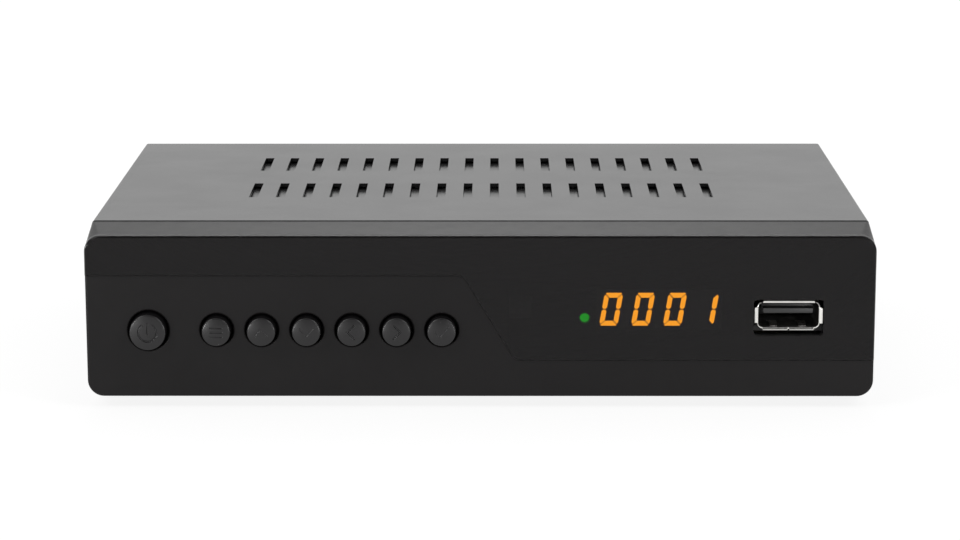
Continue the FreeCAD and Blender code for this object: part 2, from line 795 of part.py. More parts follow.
def digit_strokes():
    """Outlines of a digit's seven strokes, a to g, in the digit's own width and height."""
    wide, tall, t, g = (
        number(v) for v in (s.digit_width, s.digit_height, s.segment, s.segment_gap)
    )
    half = tall / 2
    tip, side = TIP_CUT * t, SIDE_CUT * t
    upper_left = [
        (t, tall - t - g),
        (tip, tall - tip - g),
        (0, tall - tip - side - g),
        (0, half + g + side),
        (tip, half + g),
        (t - tip, half + g),
        (t, half + g + side),
    ]
    left_end = [(t + g, tall - t), (g + tip / 2, tall - tip / 2), (g + tip, tall)]
    top = left_end + [(wide - x, z) for x, z in reversed(left_end)]

    def flip_x(points):
        return [(wide - x, z) for x, z in points]

    def flip_z(points):
        return [(x, tall - z) for x, z in points]

    point, shoulder = t - tip + g / 2, t + g * 2
    middle = [
        (point, half),
        (shoulder, half + t / 2),
        (wide - shoulder, half + t / 2),
        (wide - point, half),
        (wide - shoulder, half - t / 2),
        (shoulder, half - t / 2),
    ]
    return {
        "a": top,
        "b": flip_x(upper_left),
        "c": flip_z(flip_x(upper_left)),
        "d": flip_z(top),
        "e": flip_z(upper_left),
        "f": upper_left,
        "g": middle,
    }


LIT = ("abcdef", "abcdef", "abcdef", "bc")  # the strokes that make 0001


def segment_solids(want_lit):
    """The lit or the dark strokes of all four digits, leaning as on a real display."""
    front = number(pane_back + s.display_gap)
    middle_z = number(display_middle)
    solids = []
    for place, lit in enumerate(LIT):
        middle_x = number(display_x + s.digit_pitch * (place - (len(LIT) - 1) / 2))
        for name, outline in digit_strokes().items():
            if (name in lit) != want_lit:
                continue
            points = []
            for x, z in outline:
                up = z - number(s.digit_height) / 2
                lean = number(s.digit_lean) * up
                across = middle_x + x - number(s.digit_width) / 2 + lean
                points.append(Vector(across, front, middle_z + up))
            face = Part.Face(Part.makePolygon(points + points[:1]))
            solids.append(face.extrude(Vector(0, number(s.segment_thick), 0)))
    return solids


def make_display():
    front = pane_back + s.display_gap + s.segment_thick
    edge = DISPLAY_NOSE_EDGE
    nose = box(
        (display_left + edge, front, display_low + edge),
        (display_right - edge, s.panel_wall + s.flange_gap + ROOT, display_top - edge),
    )
    block = box(
        (display_left, s.panel_wall + s.flange_gap, display_low),
        (display_right, front_board_front, display_top),
    )
    node("display_module", fuse(nose, block))
    for label, want_lit in (("lit_segments", True), ("dark_segments", False)):
        strokes = doc.addObject("Part::Feature", "Segments")
        strokes.Shape = Part.makeCompound(segment_solids(want_lit))
        node(label, strokes)


def make_status_lamp():
    z = panel_low + s.lamp_z
    dome = doc.addObject("Part::Sphere", "Dome")
    dome.Radius = number(s.lamp_radius)
    bind(dome, "Radius", s.lamp_radius)
    top = pane_back + s.display_gap + s.lamp_radius
    put(dome, lamp_x, top, z)
    stem = cylinder(s.lamp_radius, front_board_front - top, lamp_x, top, z, "y")
    foot_front = front_board_front - LAMP_FOOT_TALL
    foot = cylinder(s.lamp_radius + LAMP_FOOT_EXTRA, LAMP_FOOT_TALL, lamp_x, foot_front, z, "y")
    node("status_led", fuse(dome, stem, foot))


def make_remote_eye():
    z = panel_low + s.eye_z
    lens = doc.addObject("Part::Sphere", "Lens")
    lens.Radius = EYE_LENS
    put(lens, eye_x, s.panel_wall + EYE_LENS - 0.1, z)
    block = box(
        (eye_x - EYE_HALF_WIDTH, s.panel_wall + 1.2, z - EYE_HALF_HEIGHT),
        (eye_x + EYE_HALF_WIDTH, front_board_front, z + EYE_HALF_HEIGHT),
    )
    node("ir_receiver", fuse(lens, block))


# The front socket


def usb_rectangle(body, y, width, height, corner):
    """An outline round the socket's axis."""
    sketch = new_sketch(body, "XZ", y)
    rounded_rectangle(
        sketch,
        usb_x - width / 2,
        usb_middle_z - height / 2,
        usb_x + width / 2,
        usb_middle_z + height / 2,
        corner,
    )
    return sketch


SPRING_X, SPRING_WIDTH, SPRING_LONG, SPRING_TILT = 3.1, 2.2, 5.0, 5.0
TONGUE_THICK, TONGUE_WIDTH, TONGUE_DROP = 1.84, 11.1, 0.72
TONGUE_BACK_FROM_MOUTH = 1.6
CONTACT_X = (-3.5, -1.0, 1.0, 3.5)


def make_usb():
    wide = s.usb_width + s.usb_sheet * 2
    tall = s.usb_height + s.usb_sheet * 2
    flare_back = usb_front + s.usb_flare_long
    usb_back = usb_front + s.usb_long
    body = new_body()
    mouth = usb_rectangle(body, usb_front, s.usb_flare_width, s.usb_flare_height, 1.3)
    neck = usb_rectangle(body, flare_back, wide, tall, 0.7)
    loft(body, "Additive", mouth, neck)
    pad(body, usb_rectangle(body, flare_back, wide, tall, 0.7), usb_back - flare_back, True)
    lip = s.usb_sheet * 2
    inner_mouth = usb_rectangle(
        body, usb_front, s.usb_flare_width - lip, s.usb_flare_height - lip, 1.0
    )
    inner_neck = usb_rectangle(body, flare_back, s.usb_width, s.usb_height, 0.5)
    loft(body, "Subtractive", inner_mouth, inner_neck)
    inside = usb_rectangle(body, flare_back, s.usb_width, s.usb_height, 0.5)
    pocket(body, inside, usb_back - flare_back - s.usb_sheet)
    springs = []
    for sign in (-1, 1):
        leaf = doc.addObject("Part::Box", "Spring")
        leaf.Length = SPRING_WIDTH
        leaf.Width = SPRING_LONG
        leaf.Height = number(s.usb_sheet)
        bind(leaf, "Height", s.usb_sheet)
        put(
            leaf,
            usb_x + sign * SPRING_X - SPRING_WIDTH / 2,
            usb_front + 1.6,
            usb_middle_z - s.usb_height / 2 - 0.1,
            Rotation(Vector(1, 0, 0), SPRING_TILT),
        )
        springs.append(leaf)
    node("usb_shell", fuse(body, *springs))

    tongue_high = usb_middle_z + s.usb_height / 2 - TONGUE_DROP
    tongue_front = usb_front + TONGUE_BACK_FROM_MOUTH
    stem = usb_back - s.usb_sheet - s.fit_gap
    tongue = box(
        (usb_x - TONGUE_WIDTH / 2, tongue_front, tongue_high - TONGUE_THICK),
        (usb_x + TONGUE_WIDTH / 2, stem - 0.5, tongue_high),
    )
    root = box(
        (
            usb_x - s.usb_width / 2 + s.fit_gap,
            stem - 3.5,
            usb_middle_z - s.usb_height / 2 + s.fit_gap,
        ),
        (usb_x + s.usb_width / 2 - s.fit_gap, stem, usb_middle_z + s.usb_height / 2 - s.fit_gap),
    )
    node("usb_tongue", fuse(tongue, root))

    contacts = []
    for x in CONTACT_X:
        contacts.append(
            box(
                (usb_x + x - 0.5, tongue_front + 0.6, tongue_high - TONGUE_THICK - 0.2),
                (usb_x + x + 0.5, stem - 3.6, tongue_high - TONGUE_THICK),
            )
        )
    node("usb_contacts", group(contacts))


RISER_HALF, RISER_FRONT_GAP, RISER_BACK, RISER_THICK = 8.5, 0.6, 27.0, 1.2
HEADER_BACK = 22.5


def make_riser():
    """A small board under the front socket, standing on a pin header on the main board."""
    plate = box(
        (usb_x - RISER_HALF, s.panel_wall + RISER_FRONT_GAP, riser_high - RISER_THICK),
        (usb_x + RISER_HALF, RISER_BACK, riser_high),
    )
    node("riser_board", plate)
    block = box(
        (usb_x - 5.1, HEADER_BACK - 1.25, board_high),
        (usb_x + 5.1, HEADER_BACK + 1.25, board_high + 2.5),
    )
    pins = [
        box(
            (usb_x + x - 0.32, HEADER_BACK - 0.32, board_high + 2.3),
            (usb_x + x + 0.32, HEADER_BACK + 0.32, riser_high - RISER_THICK),
        )
        for x in (-3.81, -1.27, 1.27, 3.81)
    ]
    node("riser_header", fuse(block, *pins))


# The steel case

CASE_SCREW_INSET = 23.5
CASE_SCREW_X = (CASE_SCREW_INSET - half_lid, 0.0, half_lid - CASE_SCREW_INSET)
CASE_SCREW_LONG = 6.0
CAN_GAP = 0.3  # sockets' bodies to the rear wall
BASE_VENT_COUNT, BASE_VENT_PITCH, BASE_VENT_WIDTH, BASE_VENT_LONG = 12, 6.0, 2.4, 22.0
BASE_VENT_ROWS = (34.0, 66.0)
TUNER_INSET = 19.0
LNB_X = board_half - TUNER_INSET
COAX_BODY, COAX_DEEP, COAX_RING_WALL, COAX_BORE, COAX_BORE_DEEP = 5.2, 9.0, 0.4, 1.6, 4.0
COAX_X = LNB_X - s.tuner_width / 2 - 10.0
HDMI_X, HDMI_RISE = 13.0, 3.1
HDMI_WIDTH, HDMI_LOW_WIDTH, HDMI_HEIGHT, HDMI_SHEET = 14.0, 9.6, 4.55, 0.35
SCART_X, SCART_WIDTH, SCART_HEIGHT, SCART_BEVEL = -24.0, 46.4, 12.6, 5.5
SCART_RISE, SCART_DEEP = 9.2, 14.0
DC_INSET, DC_WIDTH, DC_HEIGHT, DC_DEEP = 13.0, 9.0, 11.0, 14.0
DC_X = DC_INSET - board_half
DC_BORE, DC_BORE_LONG, DC_PIN = 3.2, 10.0, 1.0
f_places = (LNB_X - s.f_pitch / 2, LNB_X + s.f_pitch / 2)
tuner_back = rear_front - CAN_GAP
tuner_front = tuner_back - s.tuner_deep
PILLAR_INSET = 9.0
PILLARS = (
    (PILLAR_INSET - board_half, s.board_front + 5.5),
    (board_half - PILLAR_INSET, RISER_BACK + 11.0),
    (PILLAR_INSET - board_half, board_back - 23.0),
    (board_half - PILLAR_INSET, tuner_front - 6.0),
)
scart_z = board_high + SCART_RISE
hdmi_z = board_high + HDMI_RISE
dc_z = board_high + DC_HEIGHT / 2
case_screw_z = lid_high - s.rear_flange / 2 - 0.2


def scart_outline(sketch, grow):
    """A rectangle with one lower corner cut off, seen from the front."""
    left = SCART_X - SCART_WIDTH / 2 - grow
    right = SCART_X + SCART_WIDTH / 2 + grow
    low = scart_z - SCART_HEIGHT / 2 - grow
    high = scart_z + SCART_HEIGHT / 2 + grow
    bevel = SCART_BEVEL + grow * 0.4
    polygon(
        sketch,
        [(left, low), (right - bevel, low), (right, low + bevel), (right, high), (left, high)],
    )


def hdmi_outline(sketch, grow):
    """The trapezium mouth with its straight upper sides."""
    top = HDMI_WIDTH / 2 + grow
    foot = HDMI_LOW_WIDTH / 2 + grow
    high = hdmi_z + HDMI_HEIGHT / 2 + grow
    low = hdmi_z - HDMI_HEIGHT / 2 - grow
    polygon(
        sketch,
        [
            (HDMI_X - top, high),
            (HDMI_X - top, hdmi_z - 0.6),
            (HDMI_X - foot, low),
            (HDMI_X + foot, low),
            (HDMI_X + top, hdmi_z - 0.6),
            (HDMI_X + top, high),
        ],
    )


def make_base_tray():
    body = new_body()
    block = new_sketch(body, "XY", tray_low)
    rectangle(block, -half_tray, case_front, half_tray, rear_back)
    wall_high = lid_under - s.fit_gap
    pad(body, block, wall_high - tray_low)
    inside = new_sketch(body, "XY", wall_high)
    rectangle(
        inside,
        -half_tray + s.sheet,
        case_front + s.sheet,
        half_tray - s.sheet,
        rear_front,
    )
    pocket(body, inside, wall_high - tray_floor)

    sides = new_sketch(body, "YZ", half_tray + OUTSIDE)
    rectangle(
        sides, case_front + s.sheet, tray_low + s.side_flange, rear_front, wall_high + OUTSIDE
    )
    pocket(body, sides, half_tray * 2 + OUTSIDE * 2)
    front_top = new_sketch(body, "XZ", case_front - OUTSIDE)
    rectangle(
        front_top,
        -half_tray - OUTSIDE,
        tray_low + s.front_wall,
        half_tray + OUTSIDE,
        wall_high + OUTSIDE,
    )
    pocket(body, front_top, OUTSIDE + s.sheet)

    openings = new_sketch(body, "XZ", case_front - 1)
    rectangle(openings, -half_tray + 6, tray_low + 4.0, half_tray - 5, tray_low + s.front_wall - 3)
    pocket(body, openings, 1 + s.sheet)
    notches = new_sketch(body, "XZ", case_front - 1)
    for sign in (-1, 1):
        x = sign * LOW_TAB_X
        rectangle(
            notches,
            x - TAB_WIDTH / 2 - 0.3,
            tray_floor,
            x + TAB_WIDTH / 2 + 0.3,
            tray_floor + TAB_THICK + s.fit_gap * 2,
        )
    pocket(body, notches, 1 + s.sheet)

    rear = new_sketch(body, "XZ", rear_front - 1)
    for x in f_places:
        circle(rear, x, socket_z, s.f_collar + s.socket_gap)
    circle(rear, COAX_X, socket_z, s.coax_collar + s.socket_gap)
    for x in CASE_SCREW_X:
        circle(rear, x, case_screw_z, s.screw_radius + s.screw_gap)
    hdmi_outline(rear, HDMI_SHEET + 0.4)
    scart_outline(rear, 1.1)
    rectangle(
        rear,
        DC_X - DC_WIDTH / 2 - 0.3,
        board_high - 0.1,
        DC_X + DC_WIDTH / 2 + 0.3,
        board_high + DC_HEIGHT + 0.3,
    )
    pocket(body, rear, s.sheet + 2)

    pillars = new_sketch(body, "XY", tray_floor - 0.2)
    for x, y in PILLARS:
        circle(pillars, x, y, s.standoff_radius)
    pad(body, pillars, s.standoff + 0.2)
    threads = new_sketch(body, "XY", board_low)
    for x, y in PILLARS:
        circle(threads, x, y, s.screw_radius + s.screw_gap)
    pocket(body, threads, s.standoff)

    for first in BASE_VENT_ROWS:
        slot = new_sketch(body, "XY", tray_floor)
        left = -BASE_VENT_PITCH * (BASE_VENT_COUNT - 1) / 2
        rounded_rectangle(
            slot,
            left - BASE_VENT_WIDTH / 2,
            first,
            left + BASE_VENT_WIDTH / 2,
            first + BASE_VENT_LONG,
            BASE_VENT_WIDTH / 2 - 0.05,
        )
        spread(body, pocket(body, slot, s.sheet + 1), BASE_VENT_PITCH, BASE_VENT_COUNT)
    node("base_tray", body)


def spread(body, feature, pitch, count):
    """Repeats a feature along +X."""
    pattern = body.newObject("PartDesign::LinearPattern", "LinearPattern")
    pattern.Originals = [feature]
    pattern.Direction = (plane_of(body, "X_Axis"), [""])
    pattern.Length = number(pitch) * (number(count) - 1)
    bind(pattern, "Length", pitch * (count - 1))
    pattern.Occurrences = round(number(count))
    bind(pattern, "Occurrences", count)
    body.Tip = pattern


def make_top_cover():
    body = new_body()
    block = new_sketch(body, "XZ", case_front)
    rectangle(block, -half_lid, tray_low, half_lid, lid_high)
    pad(body, block, case_back - case_front, backwards=True)
    dress(
        body,
        "Fillet",
        s.bend,
        lambda e: stands_at(e, -half_lid, lid_high) or stands_at(e, half_lid, lid_high),
    )
    inside = new_sketch(body, "XZ", case_front - 1)
    side = half_lid - s.sheet
    rectangle(inside, -side, tray_low - 1, side, lid_under)
    pocket(body, inside, case_back - s.sheet - case_front + 1)
    rear = new_sketch(body, "XZ", case_back - s.sheet - 1)
    rectangle(rear, -side, tray_low - 1, side, lid_high - s.rear_flange)
    pocket(body, rear, s.sheet + 2)
    holes = new_sketch(body, "XZ", case_back - s.sheet - 1)
    for x in CASE_SCREW_X:
        circle(holes, x, case_screw_z, s.screw_radius + 0.2)
    pocket(body, holes, s.sheet + 2)

    slot = new_sketch(body, "XY", lid_high)
    left = s.slot_pitch * (1 - s.slot_count) / 2 - s.slot_width / 2
    near = panel_depth + s.slot_front
    for row in range(2):
        first = near + s.slot_row_pitch * row
        rectangle(slot, left, first, left + s.slot_width, first + s.slot_long)
    vents = pocket(body, slot, s.sheet + 0.5)
    spread(body, vents, s.slot_pitch, s.slot_count)
    node("top_cover", body)


def make_vent_guard():
    """A shallow tray of thin sheet, glued by its raised sides under the lid's slots."""
    side = (s.slot_pitch * (s.slot_count - 1) + s.slot_width) / 2 + s.guard_margin
    near = panel_depth + s.slot_front - s.guard_margin
    far = near + s.slot_row_pitch + s.slot_long + s.guard_margin * 2
    top = lid_high - s.guard_drop
    body = new_body()
    block = new_sketch(body, "XY", top - s.guard_thick)
    rectangle(block, -side, near, side, far)
    pad(body, block, lid_under - top + s.guard_thick)
    inside = new_sketch(body, "XZ", near - 1)
    rectangle(inside, -side + s.guard_thick, top, side - s.guard_thick, lid_under + 1)
    pocket(body, inside, far - near + 2)
    node("vent_guard", body)


def make_case_screws():
    """Pan-head screws with a cross recess, through the lid's rear strip into the tray."""
    screws = []
    for x in CASE_SCREW_X:
        head = cylinder(s.screw_head, s.screw_head_tall * 0.45, x, case_back, case_screw_z, "y")
        dome = cone(
            s.screw_head,
            s.screw_head * 0.62,
            s.screw_head_tall * 0.55,
            x,
            case_back + s.screw_head_tall * 0.45,
            case_screw_z,
            "y",
        )
        shank = cylinder(
            s.screw_radius, CASE_SCREW_LONG, x, case_back - CASE_SCREW_LONG, case_screw_z, "y"
        )
        end = case_back + s.screw_head_tall
        arms = [
            box(
                (x - wide / 2, end - 1.1, case_screw_z - tall / 2),
                (x + wide / 2, end + 1, case_screw_z + tall / 2),
            )
            for wide, tall in ((2.9, 0.55), (0.55, 2.9))
        ]
        screws.append(cut(fuse(head, dome, shank), *arms))
    node("case_screws", group(screws))


def make_feet():
    """Round rubber feet with a bevelled rim, stuck under the tray."""
    feet = []
    for sign in (-1, 1):
        x = (half_lid - s.foot_inset_x) * sign
        for y in (case_front + s.foot_inset_y, case_back - s.foot_inset_y):
            bevel = cone(s.foot_radius - 0.6, s.foot_radius, 0.6, x, y, 0)
            disc = cylinder(s.foot_radius, s.foot_height - 0.6, x, y, 0.6)
            feet.append(fuse(bevel, disc))
    node("rubber_feet", group(feet))


# The main board and what stands on it


def make_main_board():
    body = new_body()
    outline = new_sketch(body, "XY", board_low)
    rectangle(outline, -board_half, s.board_front, board_half, board_back)
    pad(body, outline, s.board)
    holes = new_sketch(body, "XY", board_high)
    for x, y in PILLARS:
        circle(holes, x, y, s.screw_radius + 0.3)
    pocket(body, holes, s.board)
    node("main_board", body)
    screws = []
    for x, y in PILLARS:
        head = cylinder(s.screw_head, 1.6, x, y, board_high)
        shank = cylinder(s.screw_radius, s.board + 3.2, x, y, board_low - 3.2)
        screws.append(fuse(head, shank))
    node("board_screws", group(screws))


def upright(x, y, radius, height):
    """A can capacitor with the groove round its foot."""
    foot = cylinder(radius, 1.2, x, y, board_high)
    neck = cylinder(radius - 0.35, 0.8, x, y, board_high + 1.2)
    can = cylinder(radius, height - 2.0, x, y, board_high + 2.0)
    return fuse(foot, neck, can)


CAPACITORS = (
    (-62.0, 66.0, 5.0, 16.0),
    (-49.0, 66.0, 5.0, 16.0),
    (-38.0, 74.0, 4.0, 12.0),
    (-58.0, 48.0, 3.2, 11.0),
    (38.0, 60.0, 3.2, 11.0),
    (50.0, 60.0, 3.2, 11.0),
)
INDUCTORS = ((-62.0, 34.0, 7.0), (-46.0, 40.0, 7.0), (-46.0, 54.0, 6.0))
MEMORIES = ((34.0, 40.0), (34.0, 24.0))
CHIP_X, CHIP_Y, CHIP_SIDE, CHIP_TALL = 6.0, 48.0, 19.0, 1.6
SINK_SIDE, SINK_BASE, SINK_FIN, SINK_FINS, SINK_TALL = 26.0, 2.0, 1.2, 7, 10.0


def make_board_parts():
    node("capacitors", group(upright(*place) for place in CAPACITORS))
    coils = []
    for x, y, side in INDUCTORS:
        half = side / 2
        block = box((x - half, y - half, board_high), (x + half, y + half, board_high + 4))
        coils.append(block)
    node("inductors", group(coils))
    memories = [
        box((x - 5.5, y - 4, board_high), (x + 5.5, y + 4, board_high + 1.1)) for x, y in MEMORIES
    ]
    node("memory_chips", group(memories))
    half = CHIP_SIDE / 2
    chip = box(
        (CHIP_X - half, CHIP_Y - half, board_high),
        (CHIP_X + half, CHIP_Y + half, board_high + CHIP_TALL),
    )
    node("main_chip", chip)
    left, near = CHIP_X - SINK_SIDE / 2, CHIP_Y - SINK_SIDE / 2
    foot = board_high + CHIP_TALL
    plate = box((left, near, foot), (left + SINK_SIDE, near + SINK_SIDE, foot + SINK_BASE))
    step = (SINK_SIDE - SINK_FIN) / (SINK_FINS - 1)
    fins = [
        box(
            (left + step * i, near, foot + SINK_BASE - 0.2),
            (left + step * i + SINK_FIN, near + SINK_SIDE, foot + SINK_TALL),
        )
        for i in range(SINK_FINS)
    ]
    node("heat_sink", fuse(plate, *fins))
    ends = [cylinder(1.9, 3.4, x, 30.0, board_high) for x in (-6.6, 0.6)]
    bar = box((-6.6, 28.1, board_high), (0.6, 31.9, board_high + 3.4))
    node("crystal", fuse(bar, *ends))


LINK_X, LINK_HALF = -24.0, 8.0


def make_link():
    """The flat cable from the main board to the front board, and its two sockets."""
    main_y = s.board_front + 4.0
    main_block = box(
        (LINK_X - LINK_HALF, main_y - 1.5, board_high),
        (LINK_X + LINK_HALF, main_y + 1.5, board_high + 5),
    )
    node("main_header", main_block)
    front_z = panel_low + 21.5
    front_block = box(
        (LINK_X - LINK_HALF, front_board_back, front_z - 1.5),
        (LINK_X + LINK_HALF, front_board_back + 3.0, front_z + 1.5),
    )
    node("front_header", front_block)
    thick = 0.5
    body = new_body()
    side = new_sketch(body, "YZ", LINK_X - LINK_HALF + 0.8)
    polygon(
        side,
        [
            (front_board_back + 3.0, front_z - thick / 2),
            (main_y - thick / 2, front_z - thick / 2),
            (main_y - thick / 2, board_high + 5),
            (main_y + thick / 2, board_high + 5),
            (main_y + thick / 2, front_z + thick / 2),
            (front_board_back + 3.0, front_z + thick / 2),
        ],
    )
    pad(body, side, LINK_HALF * 2 - 1.6)
    node("ribbon_cable", body)


# The rear sockets


F_BORE, F_CONTACT_HOLE, F_FLOOR = 3.4, 0.7, 1.0


def make_tuner():
    can = box(
        (LNB_X - s.tuner_width / 2, tuner_front, board_high),
        (LNB_X + s.tuner_width / 2, tuner_back, board_high + s.tuner_tall),
    )
    node("tuner_can", can)
    for name, x in zip(("loop_out", "lnb_in"), f_places):
        length = case_back + s.f_proud - tuner_back
        floor = tuner_back + F_FLOOR
        barrel = cylinder(s.f_radius, length, x, tuner_back, socket_z, "y")
        collar_long = case_back + s.collar_proud - tuner_back
        collar = cylinder(s.f_collar, collar_long, x, tuner_back, socket_z, "y")
        bore = cylinder(F_BORE, length, x, floor, socket_z, "y")
        node(f"{name}_socket", cut(fuse(barrel, collar), bore))
        plug = cylinder(F_BORE - s.screw_gap, length - F_FLOOR - 0.6, x, floor, socket_z, "y")
        hole = cylinder(F_CONTACT_HOLE, length, x, floor + F_FLOOR, socket_z, "y")
        node(f"{name}_insulator", cut(plug, hole))


def make_coax():
    """The digital sound socket: a moulded body whose collar carries a plain ring."""
    block = box(
        (COAX_X - COAX_BODY, tuner_back - COAX_DEEP, board_high),
        (COAX_X + COAX_BODY, tuner_back, socket_z + COAX_BODY),
    )
    seat = case_back + s.collar_proud
    start = tuner_back - ROOT
    collar = cylinder(s.coax_collar, seat - start, COAX_X, start, socket_z, "y")
    ring_end = case_back + s.coax_proud
    sleeve_radius = s.coax_radius - COAX_RING_WALL - s.screw_gap
    sleeve = cylinder(sleeve_radius, ring_end - ROOT - start, COAX_X, start, socket_z, "y")
    bore_start = tuner_back - COAX_BORE_DEEP
    bore = cylinder(COAX_BORE, ring_end - bore_start, COAX_X, bore_start, socket_z, "y")
    node("coax_body", cut(fuse(block, collar, sleeve), bore))
    ring = cylinder(s.coax_radius, ring_end - seat, COAX_X, seat, socket_z, "y")
    inner = cylinder(s.coax_radius - COAX_RING_WALL, ring_end - seat, COAX_X, seat, socket_z, "y")
    node("coax_ring", cut(ring, inner))


def make_hdmi():
    front = rear_back - 11.0
    back = rear_back + 0.5
    body = new_body()
    outside = new_sketch(body, "XZ", front)
    hdmi_outline(outside, HDMI_SHEET)
    pad(body, outside, back - front, backwards=True)
    inside = new_sketch(body, "XZ", front + HDMI_SHEET)
    hdmi_outline(inside, 0)
    pocket(body, inside, back - front)
    feet = [
        box((x, front + 2, board_high), (x + HDMI_SHEET, front + 8, hdmi_z))
        for x in (HDMI_X - HDMI_WIDTH / 2 - HDMI_SHEET, HDMI_X + HDMI_WIDTH / 2)
    ]
    node("hdmi_shell", fuse(body, *feet))
    tongue = box(
        (HDMI_X - 6.0, front + 1.5, hdmi_z - 0.1), (HDMI_X + 6.0, back - 2.0, hdmi_z + 1.1)
    )
    root = box(
        (HDMI_X - 6.6, front + HDMI_SHEET + 0.1, hdmi_z - 0.4),
        (HDMI_X + 6.6, front + 4.0, hdmi_z + HDMI_HEIGHT / 2 - 0.15),
    )
    node("hdmi_tongue", fuse(tongue, root))


def make_scart():
    """The wide audio and video socket: a bevelled steel ring round a slotted block."""
    front = rear_back - SCART_DEEP
    back = rear_back + 0.6
    shield = new_body()
    outside = new_sketch(shield, "XZ", front)
    scart_outline(outside, 0.6)
    pad(shield, outside, back - front, backwards=True)
    inside = new_sketch(shield, "XZ", front)
    scart_outline(inside, 0)
    pocket(shield, inside, back - front)
    node("scart_shield", shield)

    block = new_body()
    core = new_sketch(block, "XZ", front)
    scart_outline(core, -1.2)
    pad(block, core, back - 0.4 - front, backwards=True)
    root = new_sketch(block, "XZ", front)
    scart_outline(root, -0.15)
    pad(block, root, 5.0, backwards=True)
    for z, shift in ((scart_z + 2.4, 0.0), (scart_z - 2.4, -1.9)):
        slots = new_sketch(block, "XZ", back)
        left = SCART_X - 17.1 + shift
        rectangle(slots, left - 0.6, z - 2.0, left + 0.6, z + 2.0)
        spread(block, pocket(block, slots, 8.0, forwards=True), 3.8, 10)
    node("scart_block", block)
    foot_low = board_high
    feet = [
        box((x - 2, front + 1, foot_low), (x + 2, front + 5, scart_z - SCART_HEIGHT / 2 - 0.6))
        for x in (SCART_X - 17, SCART_X + 12)
    ]
    node("scart_feet", group(feet))


def make_dc():
    back = rear_back + 0.6
    half = DC_WIDTH / 2
    block = box(
        (DC_X - half, back - DC_DEEP, board_high), (DC_X + half, back, board_high + DC_HEIGHT)
    )
    bore = cylinder(DC_BORE, DC_BORE_LONG + 1, DC_X, back - DC_BORE_LONG, dc_z, "y")
    node("dc_jack", cut(block, bore))
    pin = cylinder(DC_PIN, DC_BORE_LONG - 1.0, DC_X, back - DC_BORE_LONG, dc_z, "y")
    node("dc_pin", pin)


def check_document():
    """Stops the build if a feature failed, or if a cut removed nothing."""
    for thing in doc.Objects:
        if {"Invalid", "Error"} & set(thing.State):
            raise RuntimeError(f"{thing.Name} ({thing.Label}) failed")
        if thing.TypeId in ("PartDesign::Pocket", "PartDesign::Groove"):
            if thing.Shape.Volume > thing.BaseFeature.Shape.Volume - 1e-6:
                raise RuntimeError(f"{thing.Name} in {thing.getParent().Label} cuts nothing")
    for label, thing in nodes.items():
        if thing.Shape.isNull() or not thing.Shape.isValid():
            raise RuntimeError(f"{label} has no valid shape")
        if not thing.Shape.Solids:
            raise RuntimeError(f"{label} has no solid")


def main():
    make_front_frame()
    make_display_window()
    make_keys()
    make_front_board()
    make_panel_screws()
    make_display()
    make_status_lamp()
    make_remote_eye()
    make_usb()
    make_riser()
    make_base_tray()
    make_top_cover()
    make_vent_guard()
    make_case_screws()
    make_feet()
    make_main_board()
    make_board_parts()
    make_link()
    make_tuner()
    make_coax()
    make_hdmi()
    make_scart()
    make_dc()
    doc.recompute()
    check_document()
    os.makedirs("parts", exist_ok=True)
    for label, thing in nodes.items():
        thing.Shape.exportStep(f"parts/{label}.step")
        print(label, len(thing.Shape.Solids), round(thing.Shape.Volume, 1))


main()
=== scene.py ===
import math

import bmesh
import bpy
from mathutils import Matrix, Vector
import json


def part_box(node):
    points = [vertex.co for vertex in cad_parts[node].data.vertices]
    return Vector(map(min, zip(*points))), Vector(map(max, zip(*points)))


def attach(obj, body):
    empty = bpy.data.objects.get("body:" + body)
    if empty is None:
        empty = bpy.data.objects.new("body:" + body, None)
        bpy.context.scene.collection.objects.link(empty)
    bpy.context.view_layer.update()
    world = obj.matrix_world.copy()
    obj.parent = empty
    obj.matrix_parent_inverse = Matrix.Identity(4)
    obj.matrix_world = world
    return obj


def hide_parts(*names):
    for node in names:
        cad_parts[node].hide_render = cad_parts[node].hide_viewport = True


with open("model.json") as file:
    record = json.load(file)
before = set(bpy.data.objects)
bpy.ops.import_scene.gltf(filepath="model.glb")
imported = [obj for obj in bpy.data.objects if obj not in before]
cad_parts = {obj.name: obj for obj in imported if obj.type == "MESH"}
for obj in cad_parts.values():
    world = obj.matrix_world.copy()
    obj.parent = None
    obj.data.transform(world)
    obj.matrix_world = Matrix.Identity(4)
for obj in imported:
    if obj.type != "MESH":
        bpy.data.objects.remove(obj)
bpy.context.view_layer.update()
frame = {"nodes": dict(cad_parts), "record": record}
nodes = frame["nodes"]

MM = 0.001
RANGE_SOCKETS = ("From Min", "From Max", "To Min", "To Max")


def mapped(tree, source, start, end, low, high, interpolation="SMOOTHSTEP"):
    """A node's value, mapped so that start becomes low and end becomes high."""
    span = tree.nodes.new("ShaderNodeMapRange")
    span.interpolation_type = interpolation
    for name, value in zip(RANGE_SOCKETS, (start, end, low, high)):
        span.inputs[name].default_value = value
    tree.links.new(source, span.inputs["Value"])
    return span.outputs["Result"]


def combined(tree, operation, first, second):
    """Two nodes' values as one."""
    node = tree.nodes.new("ShaderNodeMath")
    node.operation = operation
    tree.links.new(first, node.inputs[0])
    tree.links.new(second, node.inputs[1])
    return node.outputs["Value"]


# Materials. Texture coordinates are the object's own, in metres, so a scale of 1000 is a millimetre.


